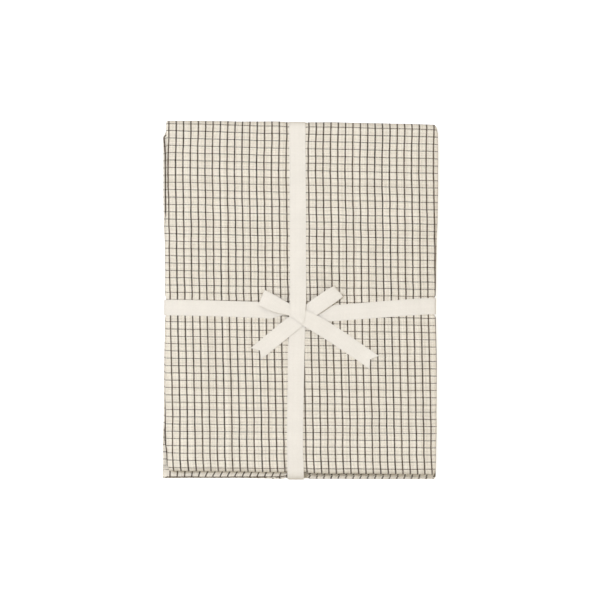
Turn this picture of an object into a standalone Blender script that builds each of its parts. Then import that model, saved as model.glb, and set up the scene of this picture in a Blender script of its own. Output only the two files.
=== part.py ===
"""A checked tea towel, folded in thirds both ways and tied with a flat woven ribbon.

The origin is on the surface below the middle of the bundle. +X runs to the right of the towel's
face, +Y to its head edge, and +Z up. Sizes are in millimetres, and solid() turns them to metres.

The towel is one sheet. Across its width it is folded in three, so that two flaps lie under its
middle third, and that bundle of three layers is folded in three again along its length: a lower
run whose free end shows past the foot of the face, a turn at the head, the face itself, a turn at
the foot, and a run that is hidden in between.
"""

import math
from typing import NamedTuple

import bmesh
import bpy
import numpy as np

MM = 0.001

# The cloth, flat
CLOTH_WIDTH = 500.0

# Thicknesses and gaps
LAYER = 1.0  # one layer of cloth
NEST_GAP = 0.4  # between the three layers of a bundle
REST_GAP = 0.5  # between one bundle and the next
STEP = LAYER + NEST_GAP  # from the middle of a layer to the next one's
HALF_BUNDLE = STEP + LAYER / 2
RISE = 2 * HALF_BUNDLE + REST_GAP  # from the middle of a bundle to the next one's
LOWER, HIDDEN, FACE = (HALF_BUNDLE + k * RISE for k in range(3))
HEAD_TURN = RISE  # radius of the bundle's middle where it turns at the head
FOOT_TURN = RISE / 2
LEFT_TURN = STEP / 2  # radius of the sheet's middle where the left flap turns under
RIGHT_TURN = STEP

# The ribbon
RIBBON_WIDTH = 10.7
RIBBON = 1.0  # its thickness
CLEARANCE = 0.3  # between the ribbon and the cloth
RECESS = RIBBON + CLEARANCE  # how far the cloth gives way where the ribbon goes round it
PRESS = 0.5  # how far the ribbon presses the face down

# The middles of the nine layers, from the lowest up: in the middle of the towel, and where it
# thins out at its left and right folds, because a flap stops short of them
LayerHeight = NamedTuple("LayerHeight", [("middle", float), ("left", float), ("right", float)])
HEIGHTS = [
    LayerHeight(LOWER - STEP, 0.50, 0.50),
    LayerHeight(LOWER, 1.90, 1.50),
    LayerHeight(LOWER + STEP, 2.90, 2.60),
    LayerHeight(HIDDEN - STEP, 3.90, 4.10),
    LayerHeight(HIDDEN, 5.30, 5.10),
    LayerHeight(HIDDEN + STEP, 6.60, 6.20),
    LayerHeight(FACE - STEP, 7.50, 7.70),
    LayerHeight(FACE, 8.60, 8.70),
    LayerHeight(FACE + STEP, 10.00, 9.80),
]
SHOULDER = 24.0  # how far from a side fold the face starts to fall

# Round places in the folded towel's outline: its sides and ends, and the lines of its head, of the
# face's foot and of the lower run's free end
SIDE = 89.0
END = 117.0
HEAD_LINE, FOOT_LINE, FREE_LINE = 116.8, -113.6, -117.0

# The same outline as it lies, seen from above. The head, the foot of the face and the free end of
# the lower run are given across the towel
EndLine = NamedTuple("EndLine", [("x", float), ("head", float), ("foot", float), ("free", float)])
END_LINES = [
    EndLine(-88.0, 117.4, -112.3, -116.5),
    EndLine(-38.0, 117.3, -112.7, -116.5),
    EndLine(-16.0, 117.0, -113.1, -116.8),
    EndLine(13.0, 116.6, -113.9, -117.1),
    EndLine(55.0, 115.7, -114.2, -117.2),
    EndLine(88.0, 114.6, -114.8, -117.3),
]
FLAP_SHORT = 1.4  # how much sooner the upper flap stops at the free end

# The side folds of the lower run and of the face are given along the towel
SideFold = NamedTuple("SideFold", [("y", float), ("left", float), ("right", float)])
LOWER_FOLDS = [
    SideFold(-117.0, -90.1, 88.3),
    SideFold(-108.0, -90.0, 88.6),
    SideFold(-80.0, -89.5, 88.9),
    SideFold(-40.0, -89.0, 88.9),
    SideFold(-5.0, -88.6, 88.5),
    SideFold(35.0, -88.7, 88.8),
    SideFold(60.0, -89.8, 89.2),
    SideFold(100.0, -90.2, 89.3),
    SideFold(106.3, -90.3, 88.8),
    SideFold(110.6, -87.6, 88.2),
]
FACE_FOLDS = [
    SideFold(110.6, -87.3, 89.6),
    SideFold(100.0, -87.4, 90.2),
    SideFold(60.0, -87.7, 90.1),
    SideFold(35.0, -88.3, 89.7),
    SideFold(-5.0, -88.6, 89.0),
    SideFold(-40.0, -88.3, 90.0),
    SideFold(-80.0, -88.0, 89.9),
    SideFold(-108.0, -87.5, 89.0),
]
CORNER = (1.2, 3.6)  # how far the head's left and right corners are rounded off
HIDDEN_INSET = 1.6  # how far the hidden run's side folds stay inside the face's
HIDDEN_SHORT = 4.0  # how far it stops from the turn at the head

# The strips of cloth that give way to the ribbon's two bands. The cloth slopes up beside them
LONG_TROUGH = (-9.0, 4.8)
CROSS_TROUGH_ON_FACE = (-15.5, 1.6)
CROSS_TROUGH_BELOW = (-12.0, 1.6)
SLOPE = 3.5
TUCK = 12.0  # how far in from the outline the ribbon draws the edges in

# Stations along the sheet that the folds are worked out at: places on the towel, and steps from
# the free end and from the turns at the head and the foot
ACROSS = (-80.0, -72.0, -60.0, -35.0, -12.5, -9.0, 4.8, 8.3, 35.0, 60.0, 72.0, 80.0)
FLAP_REACH = 65.0  # a flap has no stations past this on its far side
ALONG = (-80.0, -40.0, -19.0, -15.5, -12.0, 1.6, 5.1, 35.0, 60.0)
FREE_STEPS = (0.0, 4.5, 9.0)
HEAD_LEAD = 10.0
CORNER_LEAD = 4.3  # where the lower run's corners start to close
FOOT_LEAD = 6.0
SIDE_STEPS = 4  # faces round a flap's turn
HEAD_STEPS = 7
FOOT_STEPS = 5

# The middle of each band of the ribbon: the long band's x along the towel and the cross band's y
# across it, on the face. Below the towel each runs straight from one end of its row to the other
BandPoint = NamedTuple("BandPoint", [("along", float), ("middle", float)])
LONG_BAND = [
    BandPoint(-117.0, -2.95),
    BandPoint(-66.0, -2.6),
    BandPoint(-23.0, -2.3),
    BandPoint(-3.0, -1.4),
    BandPoint(66.0, -1.4),
    BandPoint(117.0, -1.8),
]
CROSS_BAND = [
    BandPoint(-89.0, -4.9),
    BandPoint(-27.5, -6.2),
    BandPoint(-11.0, -7.6),
    BandPoint(0.0, -9.6),
    BandPoint(20.0, -8.7),
    BandPoint(52.0, -6.9),
    BandPoint(89.0, -4.3),
]
LONG_STOP = 60.0  # the long band runs level from here to its corners
CROSS_STOPS = (-80.0, -72.0, -60.0, -27.5, -11.0, 0.0, 20.0, 52.0, 64.0, 72.0, 80.0)
CROSSING_RISE = 0.9  # how far the long band rises over the cross band
CROSSING = (-18.0, 0.0)  # where along the towel it has risen
RAMP = 8.0
ARC_STEP = 26.0  # degrees of a rounded corner to a face

# Corners of the bands' routes outside the face, seen from the side
Corner = NamedTuple("Corner", [("along", float), ("height", float), ("radius", float)])
BELOW = RIBBON / 2  # height of the ribbon's middle under the towel
LONG_CORNERS_HEAD = [Corner(116.5, 12.7, 6.0), Corner(116.5, BELOW, 6.0)]
LONG_CORNERS_FOOT = [
    Corner(-116.5, BELOW, 0.8),
    Corner(-116.5, 2.4, 1.0),
    Corner(-112.6, 12.7, 3.6),
]
CROSS_CORNERS_RIGHT = [Corner(88.75, 10.5, 2.0), Corner(88.75, BELOW, 1.3)]
CROSS_CORNERS_LEFT = [Corner(-88.35, BELOW, 1.3), Corner(-88.35, 10.7, 2.0)]

# The bow. Each strip leaves its start on a straight heading, in degrees from +X towards +Y. A row
# gives the strip's middle: how far along, its height, its width and how far it drifts to the left
StripRow = NamedTuple(
    "StripRow", [("along", float), ("height", float), ("width", float), ("drift", float)]
)
LEFT_LOOP = ((-3.3, -8.1), 155.7, [
    StripRow(0.0, 13.6, 9.4, 0.0),
    StripRow(7.0, 13.6, 9.7, 0.0),
    StripRow(14.0, 13.3, 9.8, 0.0),
    StripRow(21.4, 13.3, 9.6, 0.0),
    StripRow(22.9, 13.8, 9.6, 0.0),
    StripRow(23.5, 14.8, 9.6, 0.0),
    StripRow(22.9, 15.8, 9.6, 0.0),
    StripRow(21.4, 16.3, 9.6, 0.0),
    StripRow(14.0, 16.2, 9.8, 0.0),
    StripRow(7.0, 15.3, 9.7, 0.0),
    StripRow(0.0, 14.8, 9.4, 0.0),
])
RIGHT_LOOP = ((1.2, -11.6), 37.6, [
    StripRow(0.0, 13.6, 9.8, 0.0),
    StripRow(10.0, 13.6, 10.0, 0.0),
    StripRow(18.0, 13.3, 10.2, 0.0),
    StripRow(26.7, 13.3, 10.4, 0.0),
    StripRow(28.3, 13.9, 10.4, 0.0),
    StripRow(29.0, 15.1, 10.4, 0.0),
    StripRow(28.3, 16.3, 10.4, 0.0),
    StripRow(26.7, 16.9, 10.4, 0.0),
    StripRow(18.0, 16.7, 10.2, 0.0),
    StripRow(11.0, 15.2, 10.0, 0.0),
    StripRow(0.0, 14.6, 9.8, 0.0),
])
LEFT_TAIL = ((-0.3, -9.4), 222.1, [
    StripRow(0.0, 15.2, 9.4, 0.0),
    StripRow(6.0, 15.1, 9.9, 0.0),
    StripRow(14.0, 14.2, 10.0, 0.0),
    StripRow(22.0, 13.3, 10.0, 0.0),
    StripRow(38.2, 13.2, 10.0, 0.0),
])
RIGHT_TAIL = ((0.1, -8.8), 326.4, [
    StripRow(0.0, 15.3, 10.0, 0.0),
    StripRow(10.0, 15.3, 10.4, 0.0),
    StripRow(19.0, 14.3, 10.6, 0.0),
    StripRow(28.0, 13.3, 10.6, 0.0),
    StripRow(57.8, 13.2, 10.6, 0.0),
])
FISHTAIL = 3.4  # how deep the free ends are notched
# The knot is where the long band comes down over the crossing and tapers to a point
KNOT_BASE = 12.9
KNOT = ((-1.2, 4.0), 270.0, [
    StripRow(0.0, 14.1, 10.7, 0.0),
    StripRow(4.5, 15.2, 10.7, 0.0),
    StripRow(8.0, 16.5, 10.4, 0.05),
    StripRow(12.5, 16.9, 7.4, 0.3),
    StripRow(15.5, 16.3, 3.8, 1.4),
    StripRow(18.4, 15.2, 1.2, 2.5),
])

Finish = NamedTuple("Finish", [("name", str), ("colour", tuple), ("roughness", float)])
CLOTH = Finish("checked cloth", (0.60, 0.55, 0.46, 1.0), 0.9)
TAPE = Finish("ribbon", (0.90, 0.85, 0.76, 1.0), 0.7)
SHARP_ANGLE = 40.0  # degrees above which an edge isn't shaded smooth


def smooth(t):
    """An eased step: 0 below t = 0, 1 above t = 1."""
    t = np.clip(t, 0.0, 1.0)
    return t * t * (3.0 - 2.0 * t)


def plateau(at, span):
    """1 inside span, falling straight to 0 over SLOPE on both sides."""
    low, high = span
    return np.clip(1 + np.minimum(at - low, high - at) / SLOPE, 0.0, 1.0)


def column(rows, name):
    return np.array([getattr(row, name) for row in rows])


# ---------------------------------------------------------------- the towel's section


class Across(NamedTuple):
    """A station of the folded width: x = anchor + offset + side r sin(turn), n = centre + r cos(turn)."""

    anchor: int
    offset: float
    side: int
    centre: float
    radius: float
    turn: float


PLACE, LEFT_FOLD, RIGHT_FOLD, LEFT_FLAP_EDGE, RIGHT_FLAP_EDGE = range(5)


def across_stations():
    """The folded width from the left flap's free edge to the right flap's."""
    left = (-1, LEFT_TURN, LEFT_TURN)
    right = (1, 0.0, RIGHT_TURN)
    turns = np.linspace(math.pi, 0, SIDE_STEPS + 1)
    rows = [Across(LEFT_FLAP_EDGE, 0.0, *left, math.pi)]
    rows += [Across(PLACE, x, *left, math.pi) for x in reversed(ACROSS) if x < FLAP_REACH]
    rows += [Across(LEFT_FOLD, 0.0, *left, turn) for turn in turns]
    rows += [Across(PLACE, x, *left, 0.0) for x in ACROSS]
    rows += [Across(RIGHT_FOLD, 0.0, *right, turn) for turn in turns[::-1]]
    rows += [Across(PLACE, x, *right, math.pi) for x in reversed(ACROSS) if x > -FLAP_REACH]
    rows += [Across(RIGHT_FLAP_EDGE, 0.0, *right, math.pi)]
    return rows


class Along(NamedTuple):
    """A station of the folded length: y = anchor + offset + (r + n) cos(turn), z likewise by sin."""

    anchor: int
    offset: float
    centre: float
    radius: float
    turn: float
    left: float
    right: float


FREE_END, HEAD, FOOT, HIDDEN_END = range(1, 5)


def folds_at(rows, y):
    """Left and right fold of a run at y."""
    rows = sorted(rows)
    return [float(np.interp(y, column(rows, "y"), column(rows, side))) for side in ("left", "right")]


def along_stations():
    """The folded length from the lower run's free end to the hidden run's."""
    head_middle = HEAD_LINE - HEAD_TURN - HALF_BUNDLE
    foot_middle = FOOT_LINE + FOOT_TURN + HALF_BUNDLE
    head = (HIDDEN, HEAD_TURN)
    foot = ((HIDDEN + FACE) / 2, FOOT_TURN)
    quarter = math.pi / 2
    rows = []

    def run(stations, circle, turn, folds, inset=0.0):
        for anchor, offset, y in stations:
            left, right = folds_at(folds, y)
            rows.append(Along(anchor, offset, *circle, turn, left + inset, right - inset))

    lower = [(FREE_END, step, FREE_LINE + step) for step in FREE_STEPS]
    lower += [(PLACE, y, y) for y in ALONG]
    lower += [(HEAD, step, head_middle + step) for step in (-HEAD_LEAD, -CORNER_LEAD, 0.0)]
    run(lower, head, -quarter, LOWER_FOLDS)
    start, end = rows[-1], folds_at(FACE_FOLDS, head_middle)
    for part in np.linspace(0, 1, HEAD_STEPS + 1)[1:-1]:
        drawn_in = math.sin(math.pi * part)
        left = start.left + (end[0] - start.left) * part + CORNER[0] * drawn_in
        right = start.right + (end[1] - start.right) * part - CORNER[1] * drawn_in
        rows.append(Along(HEAD, 0.0, *head, (2 * part - 1) * quarter, left, right))
    face = [(HEAD, step, head_middle + step) for step in (0.0, -HEAD_LEAD)]
    face += [(PLACE, y, y) for y in reversed(ALONG)]
    face += [(FOOT, step, foot_middle + step) for step in (FOOT_LEAD, 0.0)]
    run(face, head, quarter, FACE_FOLDS)
    start = rows[-1]
    for part in np.linspace(0, 1, FOOT_STEPS + 1)[1:-1]:
        inset = HIDDEN_INSET * part
        turn = (1 + 2 * part) * quarter
        rows.append(Along(FOOT, 0.0, *foot, turn, start.left + inset, start.right - inset))
    hidden = [(FOOT, step, foot_middle + step) for step in (0.0, FOOT_LEAD)]
    hidden += [(PLACE, y, y) for y in ALONG]
    hidden += [(HIDDEN_END, step, head_middle + step) for step in (-FOOT_LEAD, 0.0)]
    run(hidden, foot, 3 * quarter, FACE_FOLDS, HIDDEN_INSET)
    return rows


def give_way(x, y, z):
    """How the mid-surface moves where the flaps thin out and where the ribbon holds it."""
    middle = column(HEIGHTS, "middle")
    fall_left = np.interp(z, middle, column(HEIGHTS, "left")) - z
    fall_right = np.interp(z, middle, column(HEIGHTS, "right")) - z
    up = fall_left * np.clip((SHOULDER - SIDE - x) / SHOULDER, 0, 1) ** 2
    up += fall_right * np.clip((x - SIDE + SHOULDER) / SHOULDER, 0, 1) ** 2
    share = (z - middle[0]) / (middle[-1] - middle[0])
    over_long = plateau(x, LONG_TROUGH)
    beside = plateau(y, CROSS_TROUGH_BELOW)
    below = np.maximum(over_long, beside)
    above = np.maximum(over_long, plateau(y, CROSS_TROUGH_ON_FACE))
    up += RECESS * below * (1 - share) - PRESS * above * share
    from_sides = smooth((TUCK - SIDE - x) / TUCK) - smooth((x - SIDE + TUCK) / TUCK)
    from_ends = smooth((TUCK - END - y) / TUCK) - smooth((y - END + TUCK) / TUCK)
    return np.stack([RECESS * beside * from_sides, RECESS * over_long * from_ends, up], axis=-1)


def towel_faces():
    """The outer and inner face of the towel's sheet: an array of (along, across, xyz) each."""
    across = across_stations()
    along = along_stations()
    a = {name: column(across, name)[None, :] for name in Across._fields}
    b = {name: column(along, name)[:, None] for name in Along._fields}
    left = b["left"] + LAYER / 2 + LEFT_TURN
    right = b["right"] - LAYER / 2 - RIGHT_TURN
    half = CLOTH_WIDTH / 2
    left_edge = left + (half + left - math.pi * LEFT_TURN)
    right_edge = right - (half - right - math.pi * RIGHT_TURN)
    anchors = np.concatenate([0 * left, left, right, left_edge, right_edge], axis=1)
    rows = np.arange(len(along))[:, None]
    anchor = anchors[rows, a["anchor"]] + a["offset"]

    def surface(out):
        """The sheet's surface at a distance out from its middle."""
        x = anchor + a["side"] * (a["radius"] + out) * np.sin(a["turn"])
        n = a["centre"] + (a["radius"] + out) * np.cos(a["turn"])
        line = {name: np.interp(x, column(END_LINES, "x"), column(END_LINES, name))
                for name in ("head", "foot", "free")}
        head = line["head"] - HEAD_TURN - HALF_BUNDLE
        foot = line["foot"] + FOOT_TURN + HALF_BUNDLE
        short = FLAP_SHORT * (STEP - (a["centre"] + a["radius"] * np.cos(a["turn"]))) / (2 * STEP)
        ends = np.stack([0 * x, line["free"] + short, head, foot, head - HIDDEN_SHORT])
        end = np.take_along_axis(ends, np.broadcast_to(b["anchor"], x.shape)[None], axis=0)[0]
        y = end + b["offset"] + (b["radius"] + n) * np.cos(b["turn"])
        z = b["centre"] + (b["radius"] + n) * np.sin(b["turn"])
        return np.stack([x, y, z], axis=-1)

    moved = give_way(*np.moveaxis(surface(0.0), -1, 0))
    return surface(LAYER / 2) + moved, surface(-LAYER / 2) + moved


# ---------------------------------------------------------------- the ribbon


def rounded(corners):
    """A closed route through the corners, each rounded off by an arc of its radius."""
    spots = np.array([corner[:2] for corner in corners])
    route = []
    for spot, before, after, corner in zip(
        spots, np.roll(spots, 1, axis=0), np.roll(spots, -1, axis=0), corners
    ):
        if not corner.radius:
            route.append(spot)
            continue
        back = (before - spot) / np.linalg.norm(before - spot)
        onward = (after - spot) / np.linalg.norm(after - spot)
        half = math.acos(np.clip(back @ onward, -1, 1)) / 2
        centre = spot + (back + onward) / np.linalg.norm(back + onward) * corner.radius / math.sin(half)
        reach = corner.radius / math.tan(half)
        first, last = (spot + way * reach - centre for way in (back, onward))
        turn = math.pi - 2 * half
        steps = max(2, math.ceil(turn / math.radians(ARC_STEP)))
        for part in np.linspace(0, 1, steps + 1):
            share = math.sin((1 - part) * turn), math.sin(part * turn)
            route.append(centre + (first * share[0] + last * share[1]) / math.sin(turn))
    return np.array(route)


def band(route, middles, sideways):
    """Outer and inner surface of a closed band, whose route is clockwise in (along, height)."""
    ahead = np.roll(route, -1, axis=0) - np.roll(route, 1, axis=0)
    ahead /= np.linalg.norm(ahead, axis=1)[:, None]
    outward = np.stack([-ahead[:, 1], ahead[:, 0]], axis=1)
    across = middles[:, None] + np.array([-1, 1]) * RIBBON_WIDTH / 2
    surfaces = []
    for out in (RIBBON / 2, -RIBBON / 2):
        along, height = ((route + out * outward)[:, axis, None] + 0 * across for axis in (0, 1))
        x, y = (across, along) if sideways else (along, across)
        surfaces.append(np.stack([x, y, height], axis=-1))
    return surfaces


def face_height(x, y):
    """Height of the towel's face at x and y."""
    top = FACE + STEP
    return top + give_way(x, y, top + 0 * x)[..., 2] + LAYER / 2


def middle_of(rows, along, height):
    """Where a band's middle lies at a distance along it, on the face or straight below it."""
    near, far = rows[0], rows[-1]
    above = np.interp(along, column(rows, "along"), column(rows, "middle"))
    below = np.interp(along, [near.along, far.along], [near.middle, far.middle])
    return np.where(height > HIDDEN, above, below)


def long_band():
    """The band along the towel, which rises over the cross band on the face."""
    lift = RIBBON / 2 + CLEARANCE
    low, high = CROSSING
    stops = np.array([-LONG_STOP, low - RAMP, low, high, high + RAMP, LONG_STOP])
    rise = CROSSING_RISE * np.array([0, 0, 1, 1, 0, 0])
    x = np.interp(stops, column(LONG_BAND, "along"), column(LONG_BAND, "middle"))
    heights = face_height(x, stops) + lift + rise
    on_face = [Corner(y, z, 0.0) for y, z in zip(stops, heights)]
    route = rounded([*LONG_CORNERS_FOOT, *on_face, *LONG_CORNERS_HEAD])
    return band(route, middle_of(LONG_BAND, *route.T), sideways=True)


def cross_band():
    """The band across the towel, which falls with the face towards both side folds."""
    lift = RIBBON / 2 + CLEARANCE
    stops = np.array(CROSS_STOPS)
    y = np.interp(stops, column(CROSS_BAND, "along"), column(CROSS_BAND, "middle"))
    on_face = [Corner(x, z, 0.0) for x, z in zip(stops, face_height(stops, y) + lift)]
    route = rounded([*CROSS_CORNERS_LEFT, *on_face, *CROSS_CORNERS_RIGHT])
    return band(route, middle_of(CROSS_BAND, *route.T), sideways=False)


def strip(start, heading, rows, notch=0.0):
    """Upper and lower surface of a strip of the bow, with a notch in its far end."""
    data = np.array(rows)
    along, height, width, drift = data.T
    ahead = np.gradient(data[:, :2], axis=0)
    ahead /= np.linalg.norm(ahead, axis=1)[:, None]
    forward = np.array([math.cos(math.radians(heading)), math.sin(math.radians(heading)), 0.0])
    leftward = np.array([-forward[1], forward[0], 0.0])
    up = ahead[:, :1] * np.array([0, 0, 1.0]) - ahead[:, 1:] * forward
    middle = np.array([*start, 0.0]) + along[:, None] * forward + height[:, None] * [0, 0, 1]
    sides = np.array([1, 0, -1])[None, :, None] * width[:, None, None] / 2 + drift[:, None, None]
    grid = middle[:, None, :] + sides * leftward
    grid[-1, 1] -= notch * forward
    return [grid + out * up[:, None, :] for out in (RIBBON / 2, -RIBBON / 2)]


def knot():
    """Upper and lower surface of the knot: its top as a strip, its underside level on the bands."""
    upper = strip(*KNOT)[0]
    lower = upper.copy()
    lower[..., 2] = KNOT_BASE
    return upper, lower


# ---------------------------------------------------------------- meshes


def grid_faces(rows, columns, first=0, flip=False):
    """Quads of a grid whose points are numbered row by row from first."""
    start = first + np.arange(rows - 1)[:, None] * columns + np.arange(columns - 1)[None, :]
    quads = np.stack([start, start + columns, start + columns + 1, start + 1], axis=-1).reshape(-1, 4)
    return quads[:, ::-1] if flip else quads


def sheet_mesh(outer, inner):
    """Points and faces of the closed sheet between two grids of the same size."""
    rows, columns = outer.shape[:2]
    count = rows * columns
    numbers = np.arange(count).reshape(rows, columns)
    rim = np.concatenate([numbers[0, :-1], numbers[:-1, -1], numbers[-1, :0:-1], numbers[:0:-1, 0]])
    after = np.roll(rim, -1)
    walls = np.stack([rim, after, after + count, rim + count], axis=-1)
    faces = [grid_faces(rows, columns), grid_faces(rows, columns, count, flip=True), walls]
    points = np.concatenate([outer.reshape(-1, 3), inner.reshape(-1, 3)])
    return points, np.concatenate(faces)


def band_mesh(outer, inner):
    """Points and faces of the closed ring between two bands of two points a station."""
    count = len(outer)
    station = np.arange(count)
    corners = [station * 2, station * 2 + 1, station * 2 + 1 + 2 * count, station * 2 + 2 * count]
    faces = []
    for here, beside in zip(corners, corners[1:] + corners[:1]):
        faces.append(np.stack([here, beside, np.roll(beside, -1), np.roll(here, -1)], axis=-1))
    return np.concatenate([outer.reshape(-1, 3), inner.reshape(-1, 3)]), np.concatenate(faces)


def solid(name, points, faces):
    """A mesh object in metres, its faces turned outwards."""
    mesh = bpy.data.meshes.new(name)
    mesh.from_pydata((np.asarray(points) * MM).tolist(), [], np.asarray(faces).tolist())
    shape = bmesh.new()
    shape.from_mesh(mesh)
    bmesh.ops.recalc_face_normals(shape, faces=shape.faces)
    shape.to_mesh(mesh)
    shape.free()
    mesh.shade_smooth()
    mesh.set_sharp_from_angle(angle=math.radians(SHARP_ANGLE))
    obj = bpy.data.objects.new(name, mesh)
    bpy.context.scene.collection.objects.link(obj)
    return obj


def fused(name, meshes):
    """One object from overlapping closed meshes, by a Boolean union with each in turn."""
    first, *others = [solid(f"{name}_{number}", *mesh) for number, mesh in enumerate(meshes)]
    first.name = name
    for other in others:
        union = first.modifiers.new(other.name, "BOOLEAN")
        union.operation = "UNION"
        union.object = other
        other.hide_render = True
        other.display_type = "WIRE"
    return first


def dress(obj, finish):
    """Give the object a plain material."""
    material = bpy.data.materials.new(finish.name)
    material.use_nodes = True
    shader = material.node_tree.nodes["Principled BSDF"]
    shader.inputs["Base Color"].default_value = finish.colour
    shader.inputs["Roughness"].default_value = finish.roughness
    shader.inputs["Metallic"].default_value = 0.0
    obj.data.materials.append(material)


def main():
    for obj in list(bpy.data.objects):
        bpy.data.objects.remove(obj, do_unlink=True)
    dress(solid("towel", *sheet_mesh(*towel_faces())), CLOTH)
    meshes = [band_mesh(*long_band()), band_mesh(*cross_band()), sheet_mesh(*knot())]
    meshes += [sheet_mesh(*strip(*loop)) for loop in (LEFT_LOOP, RIGHT_LOOP)]
    meshes += [sheet_mesh(*strip(*tail, notch=FISHTAIL)) for tail in (LEFT_TAIL, RIGHT_TAIL)]
    dress(fused("ribbon", meshes), TAPE)


main()
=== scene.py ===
"""Looks of a checked tea towel, folded in thirds both ways and tied with a flat woven ribbon.

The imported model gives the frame: metres, +X to the right of the towel's face, +Y to its head edge
and +Z up. Sizes below are in millimetres, and a mesh is turned to metres as it is made.

The towel is one thin sheet, worked out on a grid that runs across and along the folded cloth. Each
grid point also knows which thread of the cloth it lies on, and the material weaves the check from
those threads. The ribbon is a set of thin strips that follow routes over, round and under the towel.
"""

from __future__ import annotations

import enum
import logging
import math
from dataclasses import dataclass
from typing import Callable, NamedTuple, Sequence

import bpy
import numpy as np
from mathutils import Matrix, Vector

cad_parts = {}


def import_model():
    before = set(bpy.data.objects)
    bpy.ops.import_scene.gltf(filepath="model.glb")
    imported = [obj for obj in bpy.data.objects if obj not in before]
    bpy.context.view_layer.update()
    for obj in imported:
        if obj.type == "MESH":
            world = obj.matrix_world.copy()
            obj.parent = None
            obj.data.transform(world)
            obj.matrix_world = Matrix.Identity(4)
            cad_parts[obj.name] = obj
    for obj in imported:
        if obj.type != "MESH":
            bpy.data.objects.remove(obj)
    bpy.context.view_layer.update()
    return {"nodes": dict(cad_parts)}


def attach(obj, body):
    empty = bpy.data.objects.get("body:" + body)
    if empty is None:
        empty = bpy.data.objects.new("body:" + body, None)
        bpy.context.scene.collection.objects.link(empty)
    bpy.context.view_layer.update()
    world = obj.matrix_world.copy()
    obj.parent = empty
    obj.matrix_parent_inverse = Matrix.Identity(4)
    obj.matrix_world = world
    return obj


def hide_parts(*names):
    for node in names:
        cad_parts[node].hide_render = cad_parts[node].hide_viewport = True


MM = 0.001
log = logging.getLogger("tea_towel")


# ------------------------------------------------------------------ small helpers


def ease(t: np.ndarray) -> np.ndarray:
    """A soft step: 0 below t = 0, 1 above t = 1, and 3t^2 - 2t^3 between."""
    t = np.clip(t, 0.0, 1.0)
    return t * t * (3.0 - 2.0 * t)


def plateau(at: np.ndarray, low: float, high: float, slope: float) -> np.ndarray:
    """Work out a soft-sided strip.

    Args:
        at: Places to work it out at.
        low: Where the strip starts.
        high: Where it ends.
        slope: How far outside the strip it has died out.

    Returns:
        1 inside the strip, easing to 0 over the slope on both sides.
    """
    return ease(1.0 + np.minimum(at - low, high - at) / slope)


def spaced(stops: Sequence[float], counts: Sequence[int]) -> np.ndarray:
    """Work out places in a row of stretches, evenly spaced within each.

    Args:
        stops: Where the stretches meet, and the two ends.
        counts: How many places each stretch has, with both of its stops.

    Returns:
        The places, each stop once.
    """
    parts = [np.linspace(*span) for span in zip(stops, stops[1:], counts)]
    return np.concatenate([*(part[:-1] for part in parts[:-1]), parts[-1]])


def table(kind: Callable[..., tuple], *rows: tuple[float, ...]) -> tuple:
    """Rows of numbers, each made a row of the kind named."""
    return tuple(kind(*row) for row in rows)


def look_up(rows: Sequence[tuple], key: str, name: str, at: np.ndarray) -> np.ndarray:
    """Read a table between its rows.

    Args:
        rows: The table.
        key: The column that the places are told in.
        name: The column to read.
        at: The places.

    Returns:
        The column's value at each place, on straight lines between the rows.
    """
    keys, values = (np.array([getattr(row, column) for row in rows]) for column in (key, name))
    order = np.argsort(keys)
    return np.interp(at, keys[order], values[order])


class Ripple(NamedTuple):
    """A smooth unevenness: about how high it is, how far apart its rises are, and its seed."""

    size: float
    wavelength: float
    seed: int

    def at(self, x: np.ndarray, y: np.ndarray, z: np.ndarray) -> np.ndarray:
        """Work out the unevenness as the sum of a few sine waves in directions picked by the seed.

        Args:
            x: Places across the towel.
            y: Places along it.
            z: Heights, which shift each wave so that no two layers are alike.

        Returns:
            Values mostly between minus the size and the size.
        """
        draw = np.random.default_rng(self.seed)
        total = np.zeros(np.broadcast(x, y, z).shape)
        waves = draw.uniform((0, 0, 0.6), (math.tau, math.tau, 1.6), (6, 3))
        for angle, phase, share in waves:
            way = x * math.cos(angle) + y * math.sin(angle)
            total += np.sin(way * math.tau / (self.wavelength * share) + 0.9 * z + phase)
        return self.size * (total / math.sqrt(2.0 * len(waves)))


# ------------------------------------------------------------------ meshes


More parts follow.
